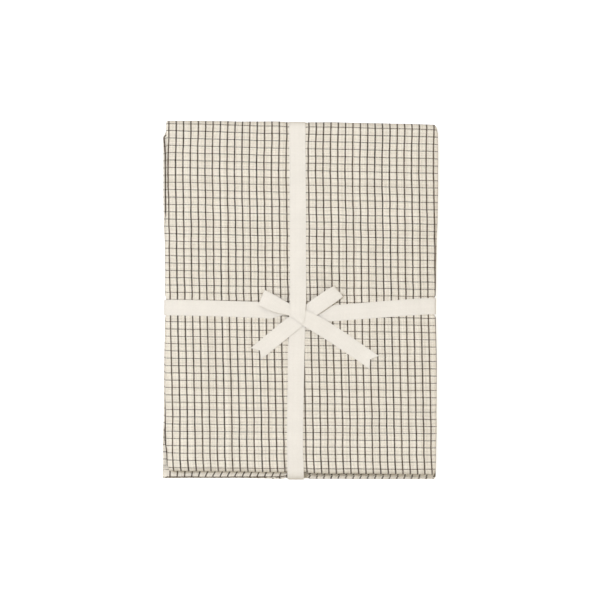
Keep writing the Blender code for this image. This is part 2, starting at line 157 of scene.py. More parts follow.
class ClothMesh:
    """Turns grids of points into closed, smooth meshes that carry a cloth's own coordinates."""

    UV_NAME = "weave"
    HEM_NAME = "hem"

    @staticmethod
    def quads(rows: int, columns: int) -> np.ndarray:
        """Corner numbers of a grid's quads, for points numbered row by row."""
        start = np.arange(rows - 1)[:, None] * columns + np.arange(columns - 1)[None, :]
        return np.stack([start, start + columns, start + columns + 1, start + 1], -1).reshape(-1, 4)

    @staticmethod
    def around(grid: np.ndarray) -> np.ndarray:
        """The values on a grid's rim, once round it."""
        return np.concatenate([grid[0, :-1], grid[:-1, -1], grid[-1, :0:-1], grid[:0:-1, 0]])

    @classmethod
    def closed_sheet(
        cls,
        name: str,
        outer: np.ndarray,
        inner: np.ndarray,
        maps: dict[str, tuple[np.ndarray, np.ndarray]],
        edge_steps: int = 1,
    ) -> bpy.types.Object:
        """Make one closed body from the two faces of a sheet, with a wall round its rim.

        The wall is a half circle that bulges away from the sheet. The cloth's coordinates run on
        over it as far as its middle and back again, as they do where a hem is turned.

        Args:
            name: The piece's name.
            outer: Points of the face that looks out of the sheet, (rows, columns, 3), in mm.
            inner: Points of the other face, the same size.
            maps: By UV map, the cloth's own coordinates at each grid point, (rows, columns, 2), on
                the outer face and on the inner one.
            edge_steps: How many steps the half circle has. With one, the wall is flat.

        Returns:
            The piece, in metres, at the origin, its faces outwards.
        """
        rows, columns = outer.shape[:2]
        count = rows * columns
        face = cls.quads(rows, columns)
        numbers = np.arange(count).reshape(rows, columns)
        rim = cls.around(numbers)
        inside = cls.around(np.pad(numbers[1:-1, 1:-1], 1, mode="edge"))
        middle, half = ((outer + side * inner).reshape(-1, 3) / 2 for side in (1, -1))
        outwards = middle[rim] - middle[inside]
        gap = np.linalg.norm(outwards, axis=1)[:, None]
        radius = np.linalg.norm(half[rim], axis=1)[:, None]
        turns = [math.pi * k / edge_steps for k in range(1, edge_steps)]
        bulge = outwards / gap * radius
        rings = [middle[rim] + half[rim] * math.cos(turn) + bulge * math.sin(turn) for turn in turns]
        ring = np.arange(len(rim))
        loops = [rim, *(2 * count + k * len(rim) + ring for k in range(len(rings))), rim + count]
        walls = [np.stack([a, np.roll(a, -1), np.roll(b, -1), b], -1) for a, b in zip(loops, loops[1:])]
        faces = np.concatenate([face, face[:, ::-1] + count, *walls])
        points = np.concatenate([outer.reshape(-1, 3), inner.reshape(-1, 3), *rings]) * MM
        mesh = bpy.data.meshes.new(name)
        mesh.from_pydata(points, [], faces)
        if cls.volume(points, faces) < 0:
            mesh.flip_normals()
        corners = np.empty(len(mesh.loops), np.int32)
        mesh.loops.foreach_get("vertex_index", corners)
        for map_name, sides in maps.items():
            one, other = (side.reshape(-1, 2) for side in sides)
            onward = (one[rim] - one[inside]) / gap * radius
            change = (other[rim] - one[rim]) / math.pi
            over = [one[rim] + change * turn + onward * min(turn, math.pi - turn) for turn in turns]
            values = np.concatenate([one, other, *over])
            layer = mesh.uv_layers.new(name=map_name)
            layer.data.foreach_set("uv", values[corners].astype(np.float32).ravel())
        mesh.shade_smooth()
        mesh.set_sharp_from_angle(angle=math.radians(60.0))
        piece = bpy.data.objects.new(name, mesh)
        bpy.context.scene.collection.objects.link(piece)
        return piece

    @staticmethod
    def volume(points: np.ndarray, quads: np.ndarray) -> float:
        """Signed volume of a closed mesh of quads: the sum of its corners' triple products."""
        a, b, c, d = (points[quads[:, k]] for k in range(4))
        return float(np.sum(np.cross(a, b) * c) + np.sum(np.cross(a, c) * d)) / 6.0


# ------------------------------------------------------------------ the towel


class LayerHeight(NamedTuple):
    """Height of one layer's middle, in the middle of the towel and at its side folds."""

    middle: float
    left: float
    right: float


class EndLine(NamedTuple):
    """The towel's ends at one place across it. Three layers show at the lower run's free end."""

    x: float
    head: float
    foot: float
    free: float
    left_flap: float
    right_flap: float


class SideFold(NamedTuple):
    """The outermost points of a run's left and right folds at one place along it."""

    y: float
    left: float
    right: float


class Drift(NamedTuple):
    """How far the long lines of the face have moved to the right at one place along it."""

    y: float
    right: float


class HemRow(NamedTuple):
    """The check at the lower run's free end, at one place across it.

    slant is how far to the right the long lines lean per distance along, and line is the y of the
    last cross line.
    """

    x: float
    slant: float
    line: float


class Sag(NamedTuple):
    """How far down the cross lines of the face have moved at one place along it."""

    y: float
    down: float


class Crease(NamedTuple):
    """A soft trough or ridge in the face, from one point to another."""

    x0: float
    y0: float
    x1: float
    y1: float
    width: float
    rise: float


class Run(enum.Enum):
    """The stretches of the folded length, in order from the free end that shows."""

    LOWER = enum.auto()
    HEAD = enum.auto()
    FACE = enum.auto()
    FOOT = enum.auto()
    HIDDEN = enum.auto()


class Stretch(enum.Enum):
    """The stretches of the folded width, in order from the left flap's edge."""

    LEFT_FLAP = enum.auto()
    LEFT_TURN = enum.auto()
    FACE = enum.auto()
    RIGHT_TURN = enum.auto()
    RIGHT_FLAP = enum.auto()


class AcrossGrid(NamedTuple):
    """The folded width at each grid point.

    x is across the towel, n the distance outwards from the bundle's middle and u the distance along
    the cloth, which is x on the face. way_x and way_n are the direction out of the sheet.
    """

    x: np.ndarray
    n: np.ndarray
    u: np.ndarray
    way_x: np.ndarray
    way_n: np.ndarray


class RunRows(NamedTuple):
    """The grid points of one run.

    place is along the run, or a share of a half turn. x is across, n outwards from the bundle's
    middle, and head, foot and free are where the run's turns and its free end lie there.
    """

    place: np.ndarray
    x: np.ndarray
    n: np.ndarray
    head: np.ndarray
    foot: np.ndarray
    free: np.ndarray


class LineFan(NamedTuple):
    """How the face's cross lines run.

    left and span are where they are measured from and over, and top is the y of the topmost one at
    the left. Over the span they fall by one distance and close up by another. The hump is a bell
    across the towel that starts at its foot and is full at its reach.
    """

    left: float = -75.3
    span: float = 155.9
    top: float = 115.76
    fall: float = 3.825
    closing: float = 0.0563
    hump: float = 0.3
    hump_x: float = -20.0
    hump_width: float = 30.0
    hump_foot: float = 20.0
    hump_reach: float = 90.0


@dataclass
class Towel:
    """The folded cloth, as one sheet.

    Across, it is folded in three: a face and two flaps under it, a left one and below it a right
    one. Along, that bundle of three is folded in three again: a lower run, a turn at the head, the
    face, a turn at the foot and a hidden run between the other two.

    sheet is the cloth's thickness and step and rise the height of one layer and of one bundle. The
    fades are how far from a run's end it still follows that end. corner_pull is how far the check
    is drawn aside in one corner of the face, and pulled says where: from its left, from its right
    and from above, each as the line where the pull starts and how far inside it the pull is full.
    The stops, spans, columns, rows and steps are where the grid's stretches start and end and how
    many points each has, closer together where the ribbon lies.
    """

    sheet: float = 0.8
    hem: float = 8.0
    hem_extra: float = 0.2
    hem_soft: float = 0.6
    step: float = 1.4
    rise: float = 4.3
    half_bundle: float = 1.9
    width: float = 500.0
    left_turn: float = 0.7
    right_turn: float = 1.4
    head_turn: float = 4.3
    foot_turn: float = 2.15
    corner_left: float = 0.1
    corner_right: float = 0.4
    hidden_inset: float = 1.6
    hidden_short: float = 4.0
    shoulder: float = 24.0
    side: float = 89.0
    end: float = 117.0
    head_line: float = 116.8
    foot_line: float = -113.6
    run_fade: float = 40.0
    face_fade: float = 60.0
    check_across: float = 4.829
    check_along: float = 4.79
    heights: tuple[LayerHeight, ...] = table(
        LayerHeight,
        (0.50, 0.44, 0.44), (1.90, 1.70, 1.40), (3.30, 2.80, 2.50), (4.80, 3.85, 4.00),
        (6.20, 5.20, 5.00), (7.60, 6.50, 6.10), (9.10, 7.50, 7.60), (10.50, 8.60, 8.65),
        (11.90, 10.00, 9.80),
    )
    ends: tuple[EndLine, ...] = table(
        EndLine,
        (-88.0, 117.8, -112.3, -117.3, -116.9, -116.3),
        (-72.0, 117.9, -112.4, -117.3, -116.9, -116.2),
        (-38.0, 117.4, -112.7, -117.3, -116.8, -116.1),
        (-16.0, 117.4, -113.1, -117.8, -116.9, -115.8),
        (5.0, 117.0, -113.7, -117.9, -115.6, -115.3),
        (24.0, 116.8, -114.0, -117.9, -115.5, -115.2),
        (46.0, 116.3, -114.1, -118.1, -115.6, -115.3),
        (65.0, 115.9, -114.4, -118.1, -115.9, -115.6),
        (82.0, 115.6, -114.8, -118.2, -116.5, -116.2),
        (88.0, 115.4, -114.9, -118.1, -116.7, -116.4),
    )
    lower_folds: tuple[SideFold, ...] = table(
        SideFold,
        (-117.0, -90.5, 89.3), (-108.0, -90.15, 89.3), (-92.0, -90.45, 89.3), (-80.0, -90.1, 89.3),
        (-40.0, -89.7, 89.2), (-11.2, -89.05, 89.0), (-9.8, -88.4, 88.3), (1.5, -88.4, 88.3),
        (2.9, -88.9, 89.0), (35.0, -89.2, 89.0), (60.0, -90.15, 89.4), (100.0, -90.2, 89.6),
        (106.3, -90.3, 89.3), (110.6, -88.1, 89.1),
    )
    face_folds: tuple[SideFold, ...] = table(
        SideFold,
        (110.6, -88.0, 90.6), (100.0, -87.7, 90.85), (60.0, -87.7, 90.5), (35.0, -88.2, 89.7),
        (2.9, -88.4, 89.2), (1.5, -88.2, 88.2), (-9.8, -88.2, 88.2), (-11.2, -88.4, 89.2),
        (-40.0, -88.4, 89.75), (-80.0, -88.3, 89.75), (-95.0, -88.3, 89.6), (-99.5, -87.2, 89.5),
        (-108.0, -87.0, 89.3),
    )
    lower_drifts: tuple[Drift, ...] = table(
        Drift,
        (118.0, 0.2), (106.0, 0.1), (96.0, -0.4), (-88.0, -0.4), (-100.0, -1.7), (-118.0, -1.7),
    )
    drifts: tuple[Drift, ...] = table(
        Drift,
        (118.0, 0.50), (108.0, 0.30), (97.0, 0.05), (84.0, -0.09), (57.6, 0.43), (44.0, 0.68),
        (18.0, 0.89), (-26.0, 1.76), (-59.0, 2.63), (-73.0, 2.96), (-85.0, 3.15), (-102.0, 3.37),
        (-108.7, 3.74), (-115.0, 4.15),
    )
    sags: tuple[Sag, ...] = table(
        Sag,
        (118.0, 0.20), (98.0, 0.30), (59.0, 0.62), (20.0, 0.72), (-29.0, 0.72), (-62.0, 0.80),
        (-96.0, 0.50), (-115.0, 0.30),
    )
    hem_asides: tuple[tuple[float, float], ...] = ((-93.6, 0.0), (-91.2, -0.45), (-89.0, -0.45), (-78.0, 0.0))
    hem_rows: tuple[HemRow, ...] = table(
        HemRow,
        (-84.5, -0.02, -116.1), (-78.0, 0.0, -116.1), (-72.0, 0.1, -116.1), (-60.0, 0.5, -116.1),
        (-6.0, 0.45, -116.1), (4.0, 0.45, -119.25), (20.0, 0.5, -119.25), (60.0, 0.6, -119.25),
    )
    hem_phases: tuple[float, float, float] = (0.01, 0.534, 0.26)
    hem_spread: float = 0.0009
    corner_pull: float = 0.6
    pulled: tuple[tuple[float, float], ...] = ((-88.5, 4.0), (-64.0, 16.0), (-74.0, 24.0))
    fan: LineFan = LineFan()
    hem_fade: float = 5.0
    face_stops: tuple[float, ...] = (0.0, 72.5, 97.5, 174.4)
    face_columns: tuple[int, ...] = (33, 22, 35)
    turned_edge: tuple[float, ...] = (0.0, 1.2, 2.4, 3.6)
    flap_stops: tuple[float, ...] = (6.0, 66.0, 90.0, 160.0)
    flap_columns: tuple[int, ...] = (11, 8, 13)
    side_steps: int = 11
    ribbon_stops: tuple[float, float] = (-20.0, 6.0)
    free_spans: tuple[tuple[float, float, int], ...] = ((0.0, 8.0, 8), (11.0, 25.0, 5))
    lower_spans: tuple[tuple[float, float, int], ...] = ((-86.0, -20.0, 16), (-16.0, 5.0, 12))
    face_rows: tuple[int, ...] = (49, 27, 42)
    hidden_rows: tuple[int, ...] = (16, 10, 18)
    head_steps: int = 16
    foot_steps: int = 12
    layer_shift: float = 0.1
    calm_below: float = 0.9
    crease_fade: float = 3.0
    uneven_up: Ripple = Ripple(0.11, 34.0, 3)
    uneven_aside: Ripple = Ripple(0.12, 26.0, 8)
    uneven_along: Ripple = Ripple(0.10, 24.0, 9)
    uneven_face: Ripple = Ripple(0.16, 62.0, 5)
    hem_start: float = -107.0
    hem_middle: float = -114.2
    creases: tuple[Crease, ...] = table(
        Crease,
        (-60.0, 118.0, -48.0, 20.0, 9.0, -0.16), (52.0, 112.0, 40.0, 30.0, 11.0, 0.14),
        (70.0, 60.0, 30.0, -2.0, 8.0, -0.12), (-84.0, 30.0, -34.0, 8.0, 7.0, 0.14),
        (-80.0, -60.0, -20.0, -36.0, 9.0, -0.13), (22.0, -44.0, 66.0, -108.0, 10.0, 0.15),
        (-44.0, -112.0, -30.0, -48.0, 9.0, 0.13), (86.0, -40.0, 46.0, -22.0, 7.0, -0.12),
    )
    long_trough: tuple[float, float] = (-8.6, 4.4)
    cross_trough_face: tuple[float, float] = (-14.8, 1.2)
    cross_trough_below: tuple[float, float] = (-10.4, 1.2)
    trough_slope: float = 3.0
    recess: float = 0.65
    press: float = 0.55
    tuck: float = 12.0
    tuck_at_head: float = 0.5
    first_line: float = -86.34

    def across_places(self) -> list[tuple[Stretch, np.ndarray]]:
        """The columns of the grid: each stretch of the folded width, and shares of it from 0 to 1."""
        fine = spaced(self.face_stops, self.face_columns)
        coarse = np.concatenate([self.turned_edge, spaced(self.flap_stops, self.flap_columns)])
        turn = np.linspace(0, 1, self.side_steps)
        return [
            (Stretch.LEFT_FLAP, 1.0 - coarse[::-1] / coarse[-1]),
            (Stretch.LEFT_TURN, turn[1:]),
            (Stretch.FACE, fine[1:] / fine[-1]),
            (Stretch.RIGHT_TURN, turn[1:]),
            (Stretch.RIGHT_FLAP, coarse[1:] / coarse[-1]),
        ]

    def across_grid(self, left: np.ndarray, right: np.ndarray) -> AcrossGrid:
        """Work out the folded width: straight stretches joined by half circles.

        Args:
            left: The middle of the left fold's half circle in each row, as a column.
            right: The middle of the right fold's, as a column.

        Returns:
            Where each grid point of the sheet's middle is.
        """
        half = self.width / 2
        left_edge = 2 * left + half - math.pi * self.left_turn
        right_edge = 2 * right - half + math.pi * self.right_turn
        parts = []
        for stretch, share in self.across_places():
            share = share[None, :] + 0 * left
            none = 0.0 * share
            if stretch is Stretch.LEFT_FLAP:
                x = left_edge + (left - left_edge) * share
                parts.append((x, none, 2 * left - math.pi * self.left_turn - x, none, none - 1))
            elif stretch is Stretch.LEFT_TURN:
                turn = math.pi * (1 - share)
                way_x, way_n = -np.sin(turn), np.cos(turn)
                x, n = left + self.left_turn * way_x, self.left_turn * (1 + way_n)
                parts.append((x, n, left - self.left_turn * turn, way_x, way_n))
            elif stretch is Stretch.FACE:
                x = left + (right - left) * share
                parts.append((x, none + self.step, x, none, none + 1))
            elif stretch is Stretch.RIGHT_TURN:
                turn = math.pi * share
                way_x, way_n = np.sin(turn), np.cos(turn)
                x, n = right + self.right_turn * way_x, self.right_turn * way_n
                parts.append((x, n, right + self.right_turn * turn, way_x, way_n))
            else:
                x = right + (right_edge - right) * share
                u = 2 * right + math.pi * self.right_turn - x
                parts.append((x, none - self.step, u, none, none - 1))
        return AcrossGrid(*(np.concatenate(values, axis=1) for values in zip(*parts)))

    def along_places(self) -> list[tuple[Run, np.ndarray]]:
        """The rows of the grid: for each run, places along it, or shares of a half turn."""
        head, foot = self.head_middle, self.foot_middle
        low, high = self.ribbon_stops
        free = self.end - np.concatenate([np.linspace(*span) for span in self.free_spans])
        spans = (*self.lower_spans, (11.0, head - 9.0, 18), (head - 7.0, head, 6))
        return [
            (Run.LOWER, np.concatenate([-free, *(np.linspace(*span) for span in spans)])),
            (Run.HEAD, np.linspace(0, 1, self.head_steps)[1:-1]),
            (Run.FACE, spaced((head, high, low, foot), self.face_rows)),
            (Run.FOOT, np.linspace(0, 1, self.foot_steps)[1:-1]),
            (Run.HIDDEN, spaced((foot, low, high, head), self.hidden_rows)),
        ]

    @property
    def head_middle(self) -> float:
        """The nominal y of the middle of the turn at the head."""
        return self.head_line - self.head_turn - self.half_bundle

    @property
    def foot_middle(self) -> float:
        """The nominal y of the middle of the turn at the foot."""
        return self.foot_line + self.foot_turn + self.half_bundle

    @property
    def hidden_level(self) -> float:
        """The height of the middle of the hidden run's bundle."""
        return self.half_bundle + self.rise

    @property
    def face_level(self) -> float:
        """The height of the middle of the face's bundle."""
        return self.half_bundle + 2 * self.rise

    def fold_line(self, side: str, inwards: float, bulge: float) -> np.ndarray:
        """Work out where the outermost points of the folds on one side are.

        Args:
            side: left or right.
            inwards: 1 where the towel lies to the right of the fold, and -1 to its left.
            bulge: How far the turn at the head draws in, half way round.

        Returns:
            The x in each row, as a column.
        """
        head, foot = self.head_middle, self.foot_middle
        start = look_up(self.lower_folds, "y", side, head)
        stop, at_foot = (look_up(self.face_folds, "y", side, y) for y in (head, foot))
        parts = []
        for run, places in self.along_places():
            if run is Run.LOWER:
                parts.append(look_up(self.lower_folds, "y", side, places))
            elif run is Run.HEAD:
                drawn = inwards * bulge * np.sin(math.pi * places)
                parts.append(start + (stop - start) * places + drawn)
            elif run is Run.FOOT:
                parts.append(at_foot + inwards * self.hidden_inset * places)
            else:
                inset = self.hidden_inset if run is Run.HIDDEN else 0.0
                parts.append(look_up(self.face_folds, "y", side, places) + inwards * inset)
        return np.concatenate(parts)[:, None]

    def side_folds(self) -> tuple[np.ndarray, np.ndarray]:
        """The middles of the left and right folds' half circles in each row, as columns."""
        half = self.half_bundle - self.step
        left = self.fold_line("left", 1.0, self.corner_left) + half + self.left_turn
        right = self.fold_line("right", -1.0, self.corner_right) - half - self.right_turn
        return left, right

    def free_ends(self, x: np.ndarray, share: np.ndarray) -> np.ndarray:
        """Work out where the three layers of the lower run end.

        Args:
            x: Places across the towel.
            share: Which layer: 1 the uppermost, 0 the left flap and -1 the right flap.

        Returns:
            The y of the end at each place.
        """
        upper, left, right = (look_up(self.ends, "x", n, x) for n in ("free", "left_flap", "right_flap"))
        free = np.where(share < 0, -share, 0) * right + (1 - np.abs(share)) * left
        return free + np.where(share > 0, share, 0) * upper + (self.sheet + self.hem_extra) / 2

    def lower_run(self, at: RunRows) -> tuple[np.ndarray, np.ndarray, np.ndarray]:
        """The lower run's y, z and cross line numbers, which follow its free end and the head."""
        near_end = ease((at.place + self.end) / self.run_fade)
        near_head = ease((at.place - self.head_middle + self.run_fade) / self.run_fade)
        y = at.place + (at.free + self.end) * (1 - near_end) + (at.head - self.head_middle) * near_head
        gone = math.pi * (self.head_turn + self.step) + (at.head - y)
        v = self.line_number(at.x, at.head) - gone / self.check_along
        return y, self.hidden_level - self.head_turn - at.n, v

    def face_run(self, at: RunRows) -> tuple[np.ndarray, np.ndarray, np.ndarray]:
        """The face's y, z and cross line numbers, which follow the folds at the head and the foot."""
        near_head = ease((at.place - self.head_middle + self.face_fade) / self.face_fade)
        near_foot = ease((self.foot_middle + self.face_fade - at.place) / self.face_fade)
        y = at.place + (at.head - self.head_middle) * near_head + (at.foot - self.foot_middle) * near_foot
        return y, self.face_level + at.n, self.line_number(at.x, y)

    def hidden_run(self, at: RunRows) -> tuple[np.ndarray, np.ndarray, np.ndarray]:
        """The hidden run's y, z and cross line numbers. It stops a little short of the head."""
        near_foot = ease((self.foot_middle + self.run_fade - at.place) / self.run_fade)
        near_head = ease((at.place - self.head_middle + self.run_fade) / self.run_fade)
        y = at.place + (at.foot - self.foot_middle) * near_foot
        y = y + (at.head - self.hidden_short - self.head_middle) * near_head
        gone = math.pi * (self.foot_turn + self.step) + (y - at.foot)
        v = self.line_number(at.x, at.foot) + gone / self.check_along
        return y, self.hidden_level - at.n, v

    def half_turn(self, run: Run, at: RunRows) -> tuple[np.ndarray, np.ndarray, np.ndarray]:
        """Work out a turn at the head or foot: y = end + (radius + n) cos(turn), and z with sin.

        Args:
            run: Which turn it is.
            at: The turn's grid points.

        Returns:
            y, z and the cross line numbers.
        """
        if run is Run.HEAD:
            turn, end, radius, level = 2 * at.place - 1, at.head, self.head_turn, self.hidden_level
        else:
            turn, end, radius = 1 + 2 * at.place, at.foot, self.foot_turn
            level = (self.hidden_level + self.face_level) / 2
        turn = turn * math.pi / 2
        gone = (radius + self.step) * (turn - math.pi / 2)
        v = self.line_number(at.x, end) + gone / self.check_along
        return end + (radius + at.n) * np.cos(turn), level + (radius + at.n) * np.sin(turn), v

    def drift(self, run: Run, at: RunRows, y: np.ndarray) -> np.ndarray:
        """Work out how far the long lines have moved to the right.

        Args:
            run: The run.
            at: Its grid points.
            y: Where they lie along the towel.

        Returns:
            The distance at each point.
        """
        drift = look_up(self.drifts, "y", "right", 0 * y - self.end if run is Run.HIDDEN else y)
        if run in (Run.LOWER, Run.HEAD):
            below = look_up(self.lower_drifts, "y", "right", y)
            drift = below + (drift - below) * (ease(at.place) if run is Run.HEAD else 0.0)
        if run in (Run.FACE, Run.FOOT):
            (left, rise), (right, fall), (top, depth) = self.pulled
            beside = ease((right - at.x) / fall) * ease((at.x - left) / rise)
            drift = drift - self.corner_pull * beside * ease((top - y) / depth)
        return drift

    def surface(self, out: float | np.ndarray) -> tuple[np.ndarray, np.ndarray]:
        """Work out the sheet's surface at a distance outside its middle, before it settles.

        The bundle's middle is a straight line or a half circle in (y, z), and a point lies n
        outside it.

        Args:
            out: The distance, for the whole sheet or for each grid point.

        Returns:
            The points, (rows, columns, 3), and the cloth's coordinates there, counted in checks,
            whose whole numbers lie on the lines of the check, (rows, columns, 2).
        """
        grid = self.across_grid(*self.side_folds())
        x, n = grid.x + out * grid.way_x, grid.n + out * grid.way_n
        head = look_up(self.ends, "x", "head", x) - self.head_turn - self.half_bundle
        foot = look_up(self.ends, "x", "foot", x) + self.foot_turn + self.half_bundle
        free = self.free_ends(x, grid.n / self.step)
        straight = {Run.LOWER: self.lower_run, Run.FACE: self.face_run, Run.HIDDEN: self.hidden_run}
        runs = []
        row = 0
        for run, places in self.along_places():
            rows = slice(row, row + len(places))
            row = rows.stop
            at = RunRows(places[:, None], *(values[rows] for values in (x, n, head, foot, free)))
            y, z, v = straight[run](at) if run in straight else self.half_turn(run, at)
            runs.append([values + 0 * at.n for values in (y, z, v, self.drift(run, at, y))])
        y, z, v, drift = (np.concatenate(parts) for parts in zip(*runs))
        number = (grid.u - drift - self.first_line) / self.check_across
        is_lower = np.arange(len(y))[:, None] < len(runs[0][0])
        upward = (1 - np.sign(out) * grid.way_n) / 2
        at_hem = ease((self.hem_start - y) / self.hem_fade) * is_lower * upward
        number = number + at_hem * self.hem_shift(grid, y)
        at_edge = v + (look_up(self.hem_rows, "x", "line", x) - y) / self.check_along
        v = v + at_hem * (np.round(at_edge.mean(where=at_hem > 0)) - at_edge)
        return np.stack([x, y, z], axis=-1), np.stack([number, v], axis=-1)

    def hem_shift(self, grid: AcrossGrid, y: np.ndarray) -> np.ndarray:
        """How many checks the long lines of the lower run move at its free end, where they slant.

        Args:
            grid: The folded width.
            y: Places along the towel.

        Returns:
            The shift: the phase of the layer, which is the right flap's where the distance along
            the cloth is above 0 and the left flap's where it is below, then what is put aside near
            the left edge, then the spread and the slant times the distance from the strip's middle.
        """
        right, left, face = self.hem_phases
        flap = np.where(grid.u > 0, right, left)
        own = flap + (face - flap) * (1 + grid.way_n) / 2
        own = own + np.interp(grid.u, *zip(*self.hem_asides))
        slant = look_up(self.hem_rows, "x", "slant", grid.x) * (y - self.hem_middle)
        return own - grid.way_n * (self.hem_spread * grid.x + slant / self.check_across)

    def line_number(self, x: np.ndarray, y: np.ndarray) -> np.ndarray:
        """Work out where the face's cross lines run: they fan out, fall to the right and hump up.

        Args:
            x: Places across the face.
            y: Places along it.

        Returns:
            The number of checks below the topmost line.
        """
        fan = self.fan
        across = (x - fan.left) / fan.span
        hump = fan.hump * np.exp(-(((x - fan.hump_x) / fan.hump_width) ** 2))
        hump = hump * ease((y - fan.hump_foot) / fan.hump_reach) + look_up(self.sags, "y", "down", y)
        return (fan.top - hump - y - fan.fall * across) / (self.check_along - fan.closing * across)

    def settle(self, x: np.ndarray, y: np.ndarray, z: np.ndarray) -> np.ndarray:
        """Work out how the sheet lies: it thins out at its sides, gives way to the ribbon, and sags.

        Args:
            x: Where the sheet's middle is, across.
            y: Along.
            z: Its height.

        Returns:
            How far each point moves, (..., 3).
        """
        lowest, highest = self.heights[0].middle, self.heights[-1].middle
        fall_left, fall_right = (look_up(self.heights, "middle", side, z) - z for side in ("left", "right"))
        up = fall_left * np.clip((self.shoulder - self.side - x) / self.shoulder, 0, 1) ** 2
        up = up + fall_right * np.clip((x - self.side + self.shoulder) / self.shoulder, 0, 1) ** 2
        share = np.clip((z - lowest) / (highest - lowest), 0, 1)
        over_long = plateau(x, *self.long_trough, self.trough_slope)
        beside = plateau(y, *self.cross_trough_below, self.trough_slope)
        below = np.maximum(over_long, beside)
        above = np.maximum(over_long, plateau(y, *self.cross_trough_face, self.trough_slope))
        up = up + self.recess * below * (1 - share) - self.press * above * share
        up = up + self.uneven_up.at(x, y, z) * ease(z - self.calm_below)
        up = up + share**2 * self.crease_rise(x, y) * (1 - above)
        tuck = self.tuck
        from_ends = ease((tuck - self.end - y) / tuck)
        from_ends = from_ends - self.tuck_at_head * ease((y - self.end + tuck) / tuck)
        aside = self.uneven_aside.at(y, z, x * self.layer_shift) * (1 - beside)
        along = self.recess * over_long * from_ends + self.uneven_along.at(x, z, y * self.layer_shift)
        return np.stack([aside, along, up], axis=-1)

    def crease_rise(self, x: np.ndarray, y: np.ndarray) -> np.ndarray:
        """How far the creases raise the face: each a bell across its line, fading at its ends."""
        rise = self.uneven_face.at(x, y, 0.0 * x)
        for crease in self.creases:
            start = np.array([crease.x0, crease.y0])
            way = np.array([crease.x1, crease.y1]) - start
            length = np.linalg.norm(way)
            way = way / length
            along = ((x - start[0]) * way[0] + (y - start[1]) * way[1]) / length
            beside = (x - start[0]) * way[1] - (y - start[1]) * way[0]
            fade = ease(along * self.crease_fade) * ease((1 - along) * self.crease_fade)
            rise = rise + crease.rise * np.exp(-((beside / crease.width) ** 2)) * fade
        return rise

    def face_height(self, x: np.ndarray, y: np.ndarray) -> np.ndarray:
        """Height of the face's upper surface."""
        top = np.full(np.broadcast(x, y).shape, self.heights[-1].middle)
        return top + self.settle(x + 0 * top, y + 0 * top, top)[..., 2] + self.sheet / 2

    def hem_map(self) -> np.ndarray:
        """Where each grid point lies beside the cloth's nearest edge.

        Returns:
            Its distance from that edge and its place along it, in mm, (rows, columns, 2). Distances
            are sums of the steps between grid points along the cloth.
        """
        points, _ = self.surface(0.0)
        ahead = np.linalg.norm(np.diff(points, axis=0), axis=-1)
        from_start = np.concatenate([0 * ahead[:1], np.cumsum(ahead, axis=0)])
        beside = np.linalg.norm(np.diff(points, axis=1), axis=-1)
        from_left = np.concatenate([0 * beside[:, :1], np.cumsum(beside, axis=1)], axis=1)
        from_end = np.minimum(from_start, from_start[-1:] - from_start)
        from_side = np.minimum(from_left, from_left[:, -1:] - from_left)
        by_end = from_end < from_side
        nearest = np.where(by_end, from_end, from_side)
        return np.stack([nearest, np.where(by_end, from_left, from_start)], axis=-1)

    def build(self) -> bpy.types.Object:
        """Make the sheet's two faces and close them into one piece."""
        middle = self.surface(0.0)[0]
        hem = self.hem_map()
        moved = self.settle(*np.moveaxis(middle, -1, 0))
        in_hem = ease((self.hem + self.hem_soft - hem[..., 0]) / (2 * self.hem_soft))
        half = (self.sheet + self.hem_extra * in_hem) / 2
        outer, outer_weave = self.surface(half)
        inner, inner_weave = self.surface(-half)
        maps = {ClothMesh.UV_NAME: (outer_weave, inner_weave), ClothMesh.HEM_NAME: (hem, hem)}
        return ClothMesh.closed_sheet("folded_towel", outer + moved, inner + moved, maps, edge_steps=6)

    @property
    def length(self) -> float:
        """The cloth's length, unfolded, along its middle column."""
        points, _ = self.surface(0.0)
        middle = points[:, points.shape[1] // 2]
        return float(np.linalg.norm(np.diff(middle, axis=0), axis=-1).sum())


# ------------------------------------------------------------------ the ribbon


class TapeRow(NamedTuple):
    """A station of a strip: its middle, its height over the face, its heading and width.

    The heading is in degrees from +X towards +Y, the way the strip's long axis points in plan, and
    bank is how many degrees its left edge is raised.
    """

    x: float
    y: float
    lift: float
    heading: float
    width: float
    bank: float = 0.0


class Corner(NamedTuple):
    """A corner of a band's route seen from the side, rounded off by an arc."""

    along: float
    height: float
    radius: float


def band_rows(heading: float, *rows: tuple[float, float, float, float]) -> tuple[TapeRow, ...]:
    """Stations of a band that keeps one heading, each with its x, y, lift and width."""
    return tuple(TapeRow(x, y, lift, heading, width) for x, y, lift, width in rows)


